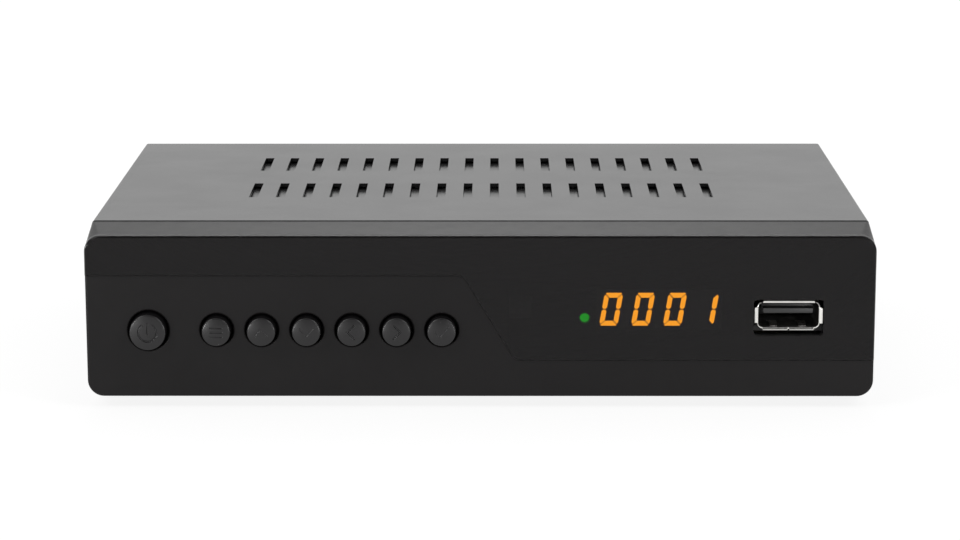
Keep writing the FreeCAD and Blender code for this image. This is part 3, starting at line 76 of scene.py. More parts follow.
class Finish:
    """A Principled surface, with helpers that add variation to it."""

    def __init__(self, name, color, roughness, metallic=0.0, level=0.5):
        self.material = bpy.data.materials.new(name)
        self.material.use_nodes = True
        self.tree = self.material.node_tree
        self.shader = self.tree.nodes["Principled BSDF"]
        self.color = color
        self.roughness = roughness
        self.set("Base Color", (*color, 1.0))
        self.set("Roughness", roughness)
        self.set("Metallic", metallic)
        self.set("IOR", 1.5)
        self.set("Specular IOR Level", level)
        self.place = self.add("ShaderNodeTexCoord").outputs["Object"]

    def set(self, socket, value):
        self.shader.inputs[socket].default_value = value
        return self

    def add(self, kind, **values):
        node = self.tree.nodes.new(kind)
        for name, value in values.items():
            if name in node.inputs:
                node.inputs[name].default_value = value
            else:
                setattr(node, name, value)
        return node

    def join(self, output, target):
        self.tree.links.new(output, target)

    def noise(self, scale, detail=3.0, stretch=None):
        """Noise with this many features to the metre, drawn out along an axis if stretch says so."""
        texture = self.add("ShaderNodeTexNoise", Scale=scale, Detail=detail, Roughness=0.5)
        place = self.place
        if stretch:
            mapping = self.add("ShaderNodeMapping", Scale=stretch)
            self.join(place, mapping.inputs["Vector"])
            place = mapping.outputs["Vector"]
        self.join(place, texture.inputs["Vector"])
        return texture.outputs["Fac"]

    def spread(self, source, low, high):
        """Maps noise, which is mostly between 0.3 and 0.7, to a range of values."""
        return mapped(self.tree, source, 0.3, 0.7, low, high, "LINEAR")

    def mottled(self, scale, amount):
        """Lets the colour drift by a share of itself."""
        mix = self.add("ShaderNodeMix", data_type="RGBA")
        self.join(self.spread(self.noise(scale), 0.0, 1.0), mix.inputs["Factor"])
        first, second = (s for s in mix.inputs if s.type == "RGBA")
        first.default_value = (*(c * (1 - amount) for c in self.color), 1.0)
        second.default_value = (*(c * (1 + amount) for c in self.color), 1.0)
        self.join(next(s for s in mix.outputs if s.type == "RGBA"), self.shader.inputs["Base Color"])
        return self

    def uneven(self, scale, amount, stretch=None):
        """Lets the roughness drift up and down."""
        source = self.noise(scale, stretch=stretch)
        rough = self.spread(source, self.roughness - amount, self.roughness + amount)
        self.join(rough, self.shader.inputs["Roughness"])
        return self

    def grained(self, scale, depth, detail=2.0, stretch=None):
        """Adds a fine bump, depth in metres."""
        bump = self.add("ShaderNodeBump", Strength=1.0, Distance=depth)
        self.join(self.noise(scale, detail, stretch), bump.inputs["Height"])
        self.join(bump.outputs["Normal"], self.shader.inputs["Normal"])
        return self


def glow(name, color, strength):
    """A lit surface under clear plastic."""
    lit = Finish(name, (0.02, 0.02, 0.02), 0.4)
    lit.set("Emission Color", (*color, 1.0)).set("Emission Strength", strength)
    return lit.uneven(900, 0.1)


PANE_ALPHA = 0.75
THROUGH_PANE = 1 / (1 - PANE_ALPHA) ** 2  # the pane is crossed twice, in and out
AMBER = (0.896, 0.323, 0.008)
GREEN = (0.0, 0.22, 0.004)


def make_materials():
    """One finish for each of the record's material slots."""
    made = {
        "panel_plastic": Finish("panel_plastic", (0.007, 0.0063, 0.0065), 0.32, level=0.158)
        .mottled(60, 0.08).uneven(300, 0.03).grained(9000, 0.000004),
        "smoked_pane": Finish("smoked_pane", (0.0065, 0.0058, 0.006), 0.06, level=0.235)
        .set("Alpha", PANE_ALPHA).uneven(120, 0.015),
        "key_plastic": Finish("key_plastic", (0.006, 0.0055, 0.006), 0.3, level=0.4)
        .uneven(400, 0.03).grained(6000, 0.000002),
        "plunger_plastic": Finish("plunger_plastic", (0.6, 0.57, 0.5), 0.5)
        .mottled(300, 0.05).grained(4000, 0.000004),
        "switch_plastic": Finish("switch_plastic", (0.02, 0.02, 0.02), 0.5)
        .mottled(400, 0.1).grained(4000, 0.000005),
        "case_paint": Finish("case_paint", (0.012, 0.012, 0.012), 0.24)
        .mottled(25, 0.1).uneven(70, 0.02).grained(3500, 0.000006, detail=1.0),
        "guard_sheet": Finish("guard_sheet", (0.012, 0.012, 0.012), 0.2)
        .mottled(80, 0.1).uneven(90, 0.02),
        "tray_steel": Finish("tray_steel", (0.42, 0.43, 0.43), 0.36, metallic=1.0)
        .mottled(180, 0.12).uneven(260, 0.08).grained(2200, 0.000006),
        "screw_black": Finish("screw_black", (0.025, 0.025, 0.026), 0.32, level=0.6)
        .uneven(900, 0.08).grained(5000, 0.000006),
        "screw_zinc": Finish("screw_zinc", (0.6, 0.58, 0.5), 0.3, metallic=1.0)
        .mottled(700, 0.08).uneven(900, 0.1),
        "rubber": Finish("rubber", (0.02, 0.02, 0.02), 0.75)
        .mottled(300, 0.15).grained(2500, 0.00002),
        "board_green": Finish("board_green", (0.012, 0.085, 0.035), 0.35)
        .mottled(220, 0.12).uneven(400, 0.05).grained(1500, 0.000006),
        "display_body": Finish("display_body", (0.008, 0.008, 0.008), 0.4).uneven(300, 0.05),
        "light_amber": glow("light_amber", AMBER, THROUGH_PANE),
        "dark_segment": Finish("dark_segment", (0.016, 0.013, 0.011), 0.35).uneven(500, 0.05),
        "light_green": glow("light_green", GREEN, THROUGH_PANE),
        "eye_plastic": Finish("eye_plastic", (0.01, 0.006, 0.01), 0.12).uneven(300, 0.03),
        "socket_steel": Finish("socket_steel", (0.76, 0.75, 0.72), 0.2, metallic=1.0)
        .mottled(500, 0.06).uneven(900, 0.06).grained(3000, 0.000003),
        "socket_plastic": Finish("socket_plastic", (0.014, 0.014, 0.014), 0.42)
        .mottled(300, 0.12).grained(5000, 0.000005),
        "tongue_plastic": Finish("tongue_plastic", (0.02, 0.02, 0.021), 0.4)
        .mottled(400, 0.04).grained(4000, 0.000004),
        "contact_gold": Finish("contact_gold", (0.83, 0.58, 0.22), 0.25, metallic=1.0)
        .uneven(900, 0.06),
        "header_plastic": Finish("header_plastic", (0.66, 0.6, 0.47), 0.45)
        .mottled(300, 0.06).grained(3000, 0.000005),
        "cable_grey": Finish("cable_grey", (0.3, 0.31, 0.32), 0.5)
        .mottled(300, 0.08).grained(800, 0.00004, stretch=(1.0, 0.02, 0.02)),
        "chip_black": Finish("chip_black", (0.018, 0.018, 0.018), 0.55)
        .mottled(500, 0.15).grained(6000, 0.00001),
        "can_sleeve": Finish("can_sleeve", (0.02, 0.03, 0.08), 0.25).mottled(200, 0.1).uneven(300, 0.05),
        "coil_ferrite": Finish("coil_ferrite", (0.04, 0.04, 0.04), 0.6)
        .mottled(600, 0.2).grained(3000, 0.00002),
        "sink_aluminium": Finish("sink_aluminium", (0.68, 0.69, 0.7), 0.36, metallic=1.0)
        .uneven(500, 0.08, stretch=(0.05, 1.0, 1.0)).grained(1500, 0.000008, stretch=(1.0, 0.05, 1.0)),
        "tuner_tin": Finish("tuner_tin", (0.6, 0.6, 0.58), 0.28, metallic=1.0)
        .mottled(150, 0.06).uneven(400, 0.08),
        "antenna_nickel": Finish("antenna_nickel", (0.62, 0.59, 0.53), 0.2, metallic=1.0)
        .mottled(600, 0.05).uneven(800, 0.06),
        "insulator": Finish("insulator", (0.72, 0.7, 0.65), 0.4).mottled(500, 0.04).grained(3000, 0.000004),
        "coax_orange": Finish("coax_orange", (0.7, 0.16, 0.015), 0.38)
        .mottled(400, 0.06).grained(4000, 0.000005),
    }
    return {name: finish.material for name, finish in made.items()}


materials = make_materials()
# the small board under the front socket shows in its cut-out, and is coloured black there as painted shade
# for the gap under the shell
board_painted_shade = (
    Finish("board_painted_shade", (0.008, 0.008, 0.008), 0.45).mottled(220, 0.12).uneven(400, 0.05)
).material
# the inside of that socket's shell, a darker copy of the shell's steel that paints the shade inside it, and
# its springs
inner_steel_painted_shade = (
    Finish("inner_steel_painted_shade", (0.12, 0.115, 0.11), 0.38, metallic=1.0).mottled(500, 0.2).uneven(700, 0.08)
).material
spring_steel = (
    Finish("spring_steel", (0.5, 0.48, 0.46), 0.3, metallic=1.0).mottled(700, 0.2).uneven(900, 0.1)
).material
slot_of = {part["node"]: part["material_slot"] for part in frame["record"]["subparts"]}
for node_name, node_object in nodes.items():
    node_object.data.materials.clear()
    # the riser board gets the black finish, which is painted shade in the socket's cut-out
    finish = board_painted_shade if node_name == "riser_board" else materials[slot_of[node_name]]
    node_object.data.materials.append(finish)


# Pieces made here. Each stands for a CAD node, in its place, with finer forms. Sizes are in millimetres.


BEVEL_PROFILE = 0.6


class Form:
    """Vertices, faces and, as its kind, each face's place in the piece's list of materials."""

    def __init__(self):
        self.vertices = []
        self.faces = []
        self.kinds = []

    def add_face(self, corners, kind=0):
        self.faces.append(tuple(corners))
        self.kinds.append(kind)

    def tube(self, rings, start_closed=True, inner_from=None, kind=0):
        """Skins rings of equal length and closes the ends. From row inner_from on, the kind is 1."""
        first, count = len(self.vertices), len(rings[0])
        for ring in rings:
            self.vertices.extend(ring)
        for row in range(len(rings) - 1):
            low = first + row * count
            inner = inner_from is not None and row >= inner_from
            for i in range(count):
                j = (i + 1) % count
                self.add_face((low + i, low + count + i, low + count + j, low + j), 1 if inner else kind)
        if start_closed:
            self.add_face(range(first, first + count), kind)
        last = len(self.vertices) - count
        self.add_face(range(last, last + count), kind if inner_from is None else 1)

    def block(self, low, high, bevel):
        """A box with bevelled edges."""
        box = bmesh.new()
        bmesh.ops.create_cube(box, size=1.0)
        for vertex in box.verts:
            for axis in range(3):
                middle = (low[axis] + high[axis]) / 2
                vertex.co[axis] = middle + vertex.co[axis] * (high[axis] - low[axis])
        bmesh.ops.bevel(
            box, geom=box.edges[:], offset=bevel, segments=2, affect="EDGES", profile=BEVEL_PROFILE
        )
        base = len(self.vertices)
        box.verts.index_update()
        self.vertices.extend(tuple(vertex.co) for vertex in box.verts)
        for face in box.faces:
            self.add_face(base + vertex.index for vertex in face.verts)
        box.free()

    def mesh(self, name, crease=35):
        """A mesh with smooth faces, and sharp edges where they turn by more than the crease."""
        mesh = bpy.data.meshes.new(name)
        mesh.from_pydata([[v * MM for v in vertex] for vertex in self.vertices], [], self.faces)
        form = bmesh.new()
        form.from_mesh(mesh)
        form.faces.ensure_lookup_table()
        for face, kind in zip(form.faces, self.kinds):
            face.material_index = kind
            face.smooth = True
        bmesh.ops.recalc_face_normals(form, faces=form.faces)
        for edge in form.edges:
            edge.smooth = edge.calc_face_angle(0.0) < math.radians(crease)
        form.to_mesh(mesh)
        form.free()
        return mesh


def add_piece(name, mesh, finishes, body, node):
    for finish in finishes:
        mesh.materials.append(finish)
    piece = bpy.data.objects.new(name, mesh)
    bpy.context.scene.collection.objects.link(piece)
    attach(piece, body)
    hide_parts(node)


def corners_of(node):
    """A node's lowest and highest corners."""
    return [Vector(corner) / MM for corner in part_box(node)]


def smooth_step(low, high, value):
    share = min(max((value - low) / (high - low), 0.0), 1.0)
    return share * share * (3 - 2 * share)


def ring_at(x, z, radius, y, count):
    """A circle round a line along y. The radius is a number or a function of the place in the turn."""
    ring = []
    for i in range(count):
        angle = math.tau * i / count
        out = radius(i / count) if callable(radius) else radius
        ring.append((x + out * math.cos(angle), y, z + out * math.sin(angle)))
    return ring


# The keys: domed caps with an engraved symbol, and a flange behind the wall

CAP_DOME = 0.22  # how much lower the face's edge is than its middle
CAP_EDGE = 0.32  # rounding between the face and the side
EDGE_STEPS = 6
FACE_RINGS = 62
RING_CROWDING = 0.9  # below 1, the rings stand closer together near the edge
KEY_SPOKES = 144
DEEP_GROOVES = {"power": 0.2, "left": 0.2, "right": 0.2}
SHALLOW_GROOVE = 0.09  # the other symbols
GROOVE_HALF = 0.23
GROOVE_FLOOR = 0.35  # share of the groove's half width that is its flat floor
FLANGE_PAST_CAP = 1.2
FLANGE_THICK = 0.8
FLANGE_CHAMFER = 0.1
NECK_CHAMFER = 0.12
BACK_OPENING = 0.6  # radius of the back's innermost ring


def arc_strokes(radius, start, end, count=20):
    """An arc as short strokes, angles in degrees from the top, clockwise."""
    points = []
    for i in range(count + 1):
        angle = math.radians(start + (end - start) * i / count)
        points.append((radius * math.sin(angle), radius * math.cos(angle)))
    return [(*a, *b) for a, b in zip(points, points[1:])]


# The symbols' strokes, x1, z1, x2, z2, as shares of the cap's radius
SYMBOLS = {
    "power": [(0.0, -0.06, 0.0, 0.5)] + arc_strokes(0.5, 36, 324),
    "menu": [(-0.4, 0.32, 0.4, 0.32), (-0.4, 0.0, 0.4, 0.0), (-0.4, -0.32, 0.4, -0.32)],
    "up": [(-0.42, -0.22, 0.0, 0.26), (0.42, -0.22, 0.0, 0.26)],
    "down": [(-0.42, 0.22, 0.0, -0.26), (0.42, 0.22, 0.0, -0.26)],
    "left": [(0.2, 0.48, -0.28, 0.0), (0.2, -0.48, -0.28, 0.0)],
    "right": [(-0.2, 0.48, 0.28, 0.0), (-0.2, -0.48, 0.28, 0.0)],
    "confirm": [(-0.44, 0.02, -0.12, -0.34), (-0.12, -0.34, 0.46, 0.38)],
}


def distance_to_stroke(x, z, stroke):
    x1, z1, x2, z2 = stroke
    dx, dz = x2 - x1, z2 - z1
    along = ((x - x1) * dx + (z - z1) * dz) / (dx * dx + dz * dz)
    along = min(max(along, 0.0), 1.0)
    return math.hypot(x - x1 - along * dx, z - z1 - along * dz)


def key_mesh(name, strokes, depth, radius, low, high):
    """A cap from its symbol, the depth of the symbol's groove, its radius and the CAD key's corners."""
    x, z = (low.x + high.x) / 2, (low.z + high.z) / 2
    front, back, flange = low.y, high.y, (high.x - low.x) / 2
    flange_front = back - FLANGE_THICK
    flat = radius - CAP_EDGE
    strokes = [tuple(v * radius for v in stroke) for stroke in strokes]

    def face_y(px, pz):
        """The dome with the groove cut into it."""
        near = min(distance_to_stroke(px, pz, stroke) for stroke in strokes)
        cut = 1 - smooth_step(GROOVE_HALF * GROOVE_FLOOR, GROOVE_HALF, near)
        return front + CAP_DOME * (math.hypot(px, pz) / flat) ** 2 + depth * cut

    rings = []
    for step in range(1, FACE_RINGS + 1):
        flat_ring = ring_at(0.0, 0.0, flat * (step / FACE_RINGS) ** RING_CROWDING, 0.0, KEY_SPOKES)
        rings.append([(x + px, face_y(px, pz), z + pz) for px, _, pz in flat_ring])
    lean = math.atan(2 * CAP_DOME / flat)
    profile = []
    for step in range(1, EDGE_STEPS + 1):
        angle = lean + (math.pi / 2 - lean) * step / EDGE_STEPS
        out = flat + CAP_EDGE * (math.sin(angle) - math.sin(lean)) / (1 - math.sin(lean))
        profile.append((out, front + CAP_DOME + CAP_EDGE * (math.cos(lean) - math.cos(angle))))
    profile += [
        (radius, flange_front - NECK_CHAMFER),
        (radius + NECK_CHAMFER, flange_front),
        (flange - FLANGE_CHAMFER, flange_front),
        (flange, flange_front + FLANGE_CHAMFER),
        (flange, back - FLANGE_CHAMFER),
        (flange - FLANGE_CHAMFER, back),
        (BACK_OPENING, back),
    ]
    rings += [ring_at(x, z, out, y, KEY_SPOKES) for out, y in profile]
    form = Form()
    form.vertices.append((x, face_y(0.0, 0.0), z))
    for i in range(KEY_SPOKES):
        form.add_face((0, 1 + i, 1 + (i + 1) % KEY_SPOKES))
    form.tube(rings, start_closed=False)
    return form.mesh(name, crease=50)


def make_keys():
    for symbol, strokes in SYMBOLS.items():
        low, high = corners_of(f"{symbol}_key")
        radius = (high.x - low.x) / 2 - FLANGE_PAST_CAP
        depth = DEEP_GROOVES.get(symbol, SHALLOW_GROOVE)
        name = f"{symbol}_cap"
        mesh = key_mesh(name, strokes, depth, radius, low, high)
        finishes = [materials["key_plastic"]]
        add_piece(name, mesh, finishes, f"{symbol}_button", f"{symbol}_key")


# The front socket: a stamped shell with four lips bent out, and a tongue with its contacts

WALL = 0.2
SHELL_HALF = (6.6, 2.86)  # outside
CORNER = 1.15
LIP_REACH = (0.58, 0.36)  # how far the side and the upper and lower lips spread
LIP_HALF = (5.7, 2.02)  # half the lips' length along the mouth's long and short sides
LIP_DEEP = (0.42, 0.16)  # how far the side and the upper and lower lips stand out
LIP_END = 0.12  # length over which a lip's end falls back to the shell
LIP_CURVE = 1.4  # 1 is a straight lip
BENDS = (0.0, 0.12, 0.26, 0.42, 0.6, 0.8, 1.0)
SEAM_HALF = 0.09
MOUTH_LONG = 1.6  # past the mouth the shell is plain
EDGE_FORWARD, EDGE_INNER_BACK = 0.05, 0.06
OUTLINE_SPACING = 0.12
SPRING_AT = 3.1
SPRING_BACK = 1.1
SPRING_HALF = 1.05
SPRING_TIP = 0.72  # width of the front end as a share of the back end's
SPRING_BOW, SPRING_CURVE = 0.42, 1.5
SPRING_LONG, SPRING_THICK = 5.4, 0.12
SPRING_TOUCH = 0.8  # share of the length at which the leaf is back at the wall
SPRING_STEPS = 14


def shell_outline(inset):
    """Points round the shell, each with its outward direction and how far a lip spreads there."""
    wide, tall = SHELL_HALF[0] - inset, SHELL_HALF[1] - inset
    corner = CORNER - inset
    flat_x, flat_z = SHELL_HALF[0] - CORNER, SHELL_HALF[1] - CORNER
    turn_steps = round(math.tau / 4 * CORNER / OUTLINE_SPACING)
    points = []

    def side(cx, cz, direction, half, reach, has_seam=False):
        """A straight side, anticlockwise seen from the front."""
        dx, dz = direction
        length = flat_x if dz else flat_z
        count = round(2 * length / OUTLINE_SPACING)
        for i in range(count):
            along = -length + 2 * length * i / count
            spread = reach * (1 - smooth_step(half - LIP_END, half, abs(along)))
            if has_seam and abs(along) < SEAM_HALF:
                spread = 0.0
            points.append((cx - dz * along, cz + dx * along, dx, dz, spread))

    def turn(cx, cz, quarters):
        for i in range(turn_steps):
            angle = math.tau / 4 * (quarters + i / turn_steps)
            dx, dz = math.cos(angle), math.sin(angle)
            points.append((cx + corner * dx, cz + corner * dz, dx, dz, 0.0))

    side(wide, 0.0, (1.0, 0.0), LIP_HALF[1], LIP_REACH[0])
    turn(flat_x, flat_z, 0)
    side(0.0, tall, (0.0, 1.0), LIP_HALF[0], LIP_REACH[1])
    turn(-flat_x, flat_z, 1)
    side(-wide, 0.0, (-1.0, 0.0), LIP_HALF[1], LIP_REACH[0])
    turn(-flat_x, -flat_z, 2)
    side(0.0, -tall, (0.0, -1.0), LIP_HALF[0], LIP_REACH[1], has_seam=True)
    turn(flat_x, -flat_z, 3)
    return points


def shell_ring(cx, cz, inset, y, bend=0.0):
    """One ring of the shell. Bend goes from 0 at a lip's root to 1 at its tip."""
    ring = []
    for x, z, dx, dz, spread in shell_outline(inset):
        upright = abs(dz) > 0.5
        ahead = LIP_DEEP[upright] * bend if spread > 0.0 else 0.0
        out = spread * bend**LIP_CURVE
        ring.append((cx + x + dx * out, y - ahead, cz + z + dz * out))
    return ring


def strip_ring(x, y, z, half, thick):
    """The section of a flat strip that runs along y. The thickness may be negative."""
    return [(x - half, y, z), (x - half, y, z + thick), (x + half, y, z + thick), (x + half, y, z)]


def spring_rings(x, y, z, sign):
    """A leaf that bows in from the wall and comes back to it."""
    rings = []
    for i in range(SPRING_STEPS + 1):
        share = i / SPRING_STEPS
        bow = SPRING_BOW * math.sin(math.pi * min(share / SPRING_TOUCH, 1.0)) ** SPRING_CURVE
        half = SPRING_HALF * (SPRING_TIP + (1 - SPRING_TIP) * share)
        rings.append(strip_ring(x, y + SPRING_LONG * share, z - sign * bow, half, -sign * SPRING_THICK))
    return rings


def make_usb_shell():
    low, high = corners_of("usb_shell")
    cx, cz = (low.x + high.x) / 2, (low.z + high.z) / 2
    root, back = low.y + LIP_DEEP[0], high.y

    def ring(inset, y, bend=0.0):
        return shell_ring(cx, cz, inset, y, bend)

    rings = [ring(0.0, back), ring(0.0, root + MOUTH_LONG)]
    rings += [ring(0.0, root, bend) for bend in BENDS]
    rings.append(ring(WALL / 2, root - EDGE_FORWARD, 1.0))
    rings += [ring(WALL, root + EDGE_INNER_BACK, bend) for bend in reversed(BENDS)]
    inner_from = len(rings) - 1
    rings += [ring(WALL, root + MOUTH_LONG), ring(WALL, back - WALL)]
    form = Form()
    form.tube(rings, inner_from=inner_from)
    for sign in (-1, 1):
        for x in (-SPRING_AT, SPRING_AT):
            wall = cz + sign * (SHELL_HALF[1] - WALL)
            form.tube(spring_rings(cx + x, root + SPRING_BACK, wall, sign), kind=2)
    # the shell's inner face has the darker steel, which is painted shade
    finishes = [materials["socket_steel"], inner_steel_painted_shade, spring_steel]
    mesh = form.mesh("usb_shell_formed")
    add_piece("usb_shell_formed", mesh, finishes, "case", "usb_shell")


TONGUE_THICK, TONGUE_HALF = 1.84, 5.55
TONGUE_ROOT = 1.2  # thickness of the block that the tongue stands on
TIP_LONG = 2.2  # the tongue's thinner front part
TIP_INSET, TIP_BOTTOM, TIP_TOP, TIP_OVERLAP = 0.25, 0.2, 0.55, 0.3
RAIL_BACK, RAIL_LOW, RAIL_HIGH = 0.4, 0.06, 0.1
RAIL_FROM, RAIL_TO = 0.56, 0.75
ROOT_OVERLAP = 0.2
CONTACT_PLACES = (-3.5, -1.0, 1.0, 3.5)
CONTACT_HALF, CONTACT_THICK, CONTACT_BOW = 0.5, 0.14, 0.07
CONTACT_TOUCH = 2 / 3  # share of the length at which a contact is back at the tongue
CONTACT_STEPS = 12


def make_usb_tongue():
    low, high = corners_of("usb_tongue")
    shell_low, shell_high = corners_of("usb_shell")
    under = corners_of("usb_contacts")[1].z
    cx = (shell_low.x + shell_high.x) / 2
    root, nose, top = high.y - TONGUE_ROOT, low.y + TIP_LONG, under + TONGUE_THICK
    left, right = cx - TONGUE_HALF, cx + TONGUE_HALF
    form = Form()
    form.block((left, nose, under), (right, root + ROOT_OVERLAP, top), bevel=0.2)
    tip_low = (left + TIP_INSET, low.y, under + TIP_BOTTOM)
    tip_high = (right - TIP_INSET, nose + TIP_OVERLAP, top - TIP_TOP)
    form.block(tip_low, tip_high, bevel=0.16)
    form.block((low.x, root, low.z), high, bevel=0.12)
    for place in CONTACT_PLACES:
        for start, end in ((-RAIL_TO, -RAIL_FROM), (RAIL_FROM, RAIL_TO)):
            rail_low = (cx + place + start, nose + RAIL_BACK, under - RAIL_LOW)
            form.block(rail_low, (cx + place + end, root, under + RAIL_HIGH), bevel=0.04)
    finishes = [materials["socket_plastic"]]
    mesh = form.mesh("usb_tongue_formed")
    add_piece("usb_tongue_formed", mesh, finishes, "case", "usb_tongue")


def make_usb_contacts():
    low, high = corners_of("usb_contacts")
    shell_low, shell_high = corners_of("usb_shell")
    cx = (shell_low.x + shell_high.x) / 2
    start = low.y + TIP_LONG
    form = Form()
    for place in CONTACT_PLACES:
        rings = []
        for i in range(CONTACT_STEPS + 1):
            share = i / CONTACT_STEPS
            bow = CONTACT_BOW * math.sin(math.pi * min(share / CONTACT_TOUCH, 1.0))
            y = start + (high.y - start) * share
            rings.append(strip_ring(cx + place, y, high.z - bow, CONTACT_HALF, CONTACT_THICK))
        form.tube(rings)
    finishes = [materials["contact_gold"]]
    mesh = form.mesh("usb_contacts_formed")
    add_piece("usb_contacts_formed", mesh, finishes, "case", "usb_contacts")


# The antenna sockets behind the case: a threaded barrel with a hexagon, and a white disc in its bore

BARREL_RADIUS, BARREL_PROUD, BARREL_BORE = 4.76, 11.0, 3.4
BARREL_FLOOR, FLOOR_RING = 1.0, 3.0
BARREL_SPOKES = 72
HEXAGON_LONG = 1.6
THREAD_PITCH, THREAD_DEPTH = 0.79, 0.42
THREAD_STEPS = 8  # rings to a pitch
RUN_OUT = 0.5  # plain length before and after the thread
RIDGE = (0.1, 0.85)
DISC_SPOKES = 96


def hexagon_radius(turn):
    """Of a hexagon whose corners are a collar's radius away, given as a share of that radius."""
    sixth = math.tau / 6
    return math.cos(sixth / 2) / math.cos((math.tau * turn) % sixth - sixth / 2)


def thread_rings(x, z, start, end):
    root = BARREL_RADIUS - THREAD_DEPTH
    count = int((end - start) / THREAD_PITCH * THREAD_STEPS)

    def ring(step):
        pitches = step / THREAD_STEPS
        fade = min(pitches, count / THREAD_STEPS - pitches, 1.0)

        def radius(turn):
            ridge = 1 - abs((pitches + turn) % 1.0 * 2 - 1)
            return root + THREAD_DEPTH * smooth_step(*RIDGE, ridge) * fade

        return ring_at(x, z, radius, start + pitches * THREAD_PITCH, BARREL_SPOKES)

    return [ring(step) for step in range(count + 1)]


def make_antenna_socket(node):
    low, high = corners_of(node)
    x, z, collar = (low.x + high.x) / 2, (low.z + high.z) / 2, (high.x - low.x) / 2
    start, end = low.y, high.y
    case = end - BARREL_PROUD
    root = BARREL_RADIUS - THREAD_DEPTH
    hexagon_end = case + HEXAGON_LONG

    def hexagon(turn):
        return collar * hexagon_radius(turn)

    def rings_of(profile):
        return [ring_at(x, z, radius, y, BARREL_SPOKES) for radius, y in profile]

    rings = rings_of([
        (FLOOR_RING, start + 0.02), (collar - 0.4, start), (collar - 0.05, case - 0.5),
        (hexagon, case - 0.45), (hexagon, hexagon_end),
        (root, hexagon_end + 0.02), (root, hexagon_end + RUN_OUT),
    ])
    rings += thread_rings(x, z, hexagon_end + RUN_OUT, end - RUN_OUT)
    rings += rings_of([
        (root, end - 0.35), (root - 0.3, end), (BARREL_BORE + 0.12, end),
        (BARREL_BORE, end - 0.15), (BARREL_BORE, start + BARREL_FLOOR),
    ])
    form = Form()
    form.tube(rings)
    name = node.replace("_socket", "_barrel")
    finishes = [materials["antenna_nickel"]]
    add_piece(name, form.mesh(name, crease=40), finishes, "case", node)


def make_insulator(node):
    """A disc with a stepped face and a tapered hole for the plug's wire, from the hole to the back."""
    low, high = corners_of(node)
    x, z, out = (low.x + high.x) / 2, (low.z + high.z) / 2, (high.x - low.x) / 2
    start, end = low.y, high.y
    profile = [
        (0.5, end - 3.2), (0.62, end - 3.2), (0.68, end - 0.5), (1.0, end - 0.18), (1.25, end - 0.12),
        (1.35, end - 0.02), (1.5, end), (2.3, end), (2.42, end - 0.05), (2.5, end - 0.3),
        (2.7, end - 0.36), (out - 0.15, end - 0.36), (out, end - 0.5), (out, start + 0.1),
        (out - 0.1, start), (0.5, start),
    ]
    form = Form()
    form.tube([ring_at(x, z, radius, y, DISC_SPOKES) for radius, y in profile])
    name = node.replace("_insulator", "_disc")
    add_piece(name, form.mesh(name), [materials["insulator"]], "case", node)


make_keys()
make_usb_shell()
make_usb_tongue()
make_usb_contacts()
for socket in ("loop_out", "lnb_in"):
    make_antenna_socket(f"{socket}_socket")
    make_insulator(f"{socket}_insulator")


# Stage


FLOOR_HALF = 3.0
FLOOR_COLOR = (0.86, 0.86, 0.86, 1.0)
FLOOR_GLOW = 1.05
SHADOW_FADE = (0.1, 0.45)  # from here on the shading fades, and there the floor is plain white
FLOOR_SHADE = 0.16  # how much of the floor's look near the object is its own shading


def seen_directly(tree):
    """1 for rays from the camera, in mirrors and through glass, 0 for all others."""
    path = tree.nodes.new("ShaderNodeLightPath")
    total = path.outputs["Is Camera Ray"]
    for name in ("Is Glossy Ray", "Is Transmission Ray"):
        total = combined(tree, "MAXIMUM", total, path.outputs[name])
    return total


def make_floor():
    mesh = bpy.data.meshes.new("floor")
    corners = [(-1, -1), (1, -1), (1, 1), (-1, 1)]
    mesh.from_pydata([(x * FLOOR_HALF, y * FLOOR_HALF, 0.0) for x, y in corners], [], [(0, 1, 2, 3)])
    floor = bpy.data.objects.new("floor", mesh)
    bpy.context.scene.collection.objects.link(floor)

    material = bpy.data.materials.new("floor")
    material.use_nodes = True
    tree = material.node_tree
    tree.nodes.clear()
    join = tree.links.new
    diffuse = tree.nodes.new("ShaderNodeBsdfDiffuse")
    diffuse.inputs["Color"].default_value = FLOOR_COLOR
    white = tree.nodes.new("ShaderNodeEmission")
    white.inputs["Strength"].default_value = FLOOR_GLOW
    place = tree.nodes.new("ShaderNodeNewGeometry")
    away = tree.nodes.new("ShaderNodeVectorMath")
    away.operation = "LENGTH"
    join(place.outputs["Position"], away.inputs[0])
    fade = mapped(tree, away.outputs["Value"], *SHADOW_FADE, 1 - FLOOR_SHADE, 1.0)
    mix = tree.nodes.new("ShaderNodeMixShader")
    join(combined(tree, "MULTIPLY", fade, seen_directly(tree)), mix.inputs["Fac"])
    join(diffuse.outputs["BSDF"], mix.inputs[1])
    join(white.outputs["Emission"], mix.inputs[2])
    output = tree.nodes.new("ShaderNodeOutputMaterial")
    join(mix.outputs["Shader"], output.inputs["Surface"])
    mesh.materials.append(material)


WORLD_LIGHT = 0.8
LOW_LIGHT = 0.72  # near the horizon
LOW_FADE = (0.08, 0.34)  # the directions' heights over which it rises to full light
FRONT_LIGHT = 0.5  # the room behind the camera, against the white cove behind the object
FRONT_FADE = (-0.95, -0.1)  # the directions' y over which it rises to full light
ROOM_LIGHT = 0.15  # above and behind the camera, where the room is dark
ROOM_DIRECTION = (0.0, -0.68, 0.733)
ROOM_FADE = (0.86, 0.97)  # cosines of the angle from that direction


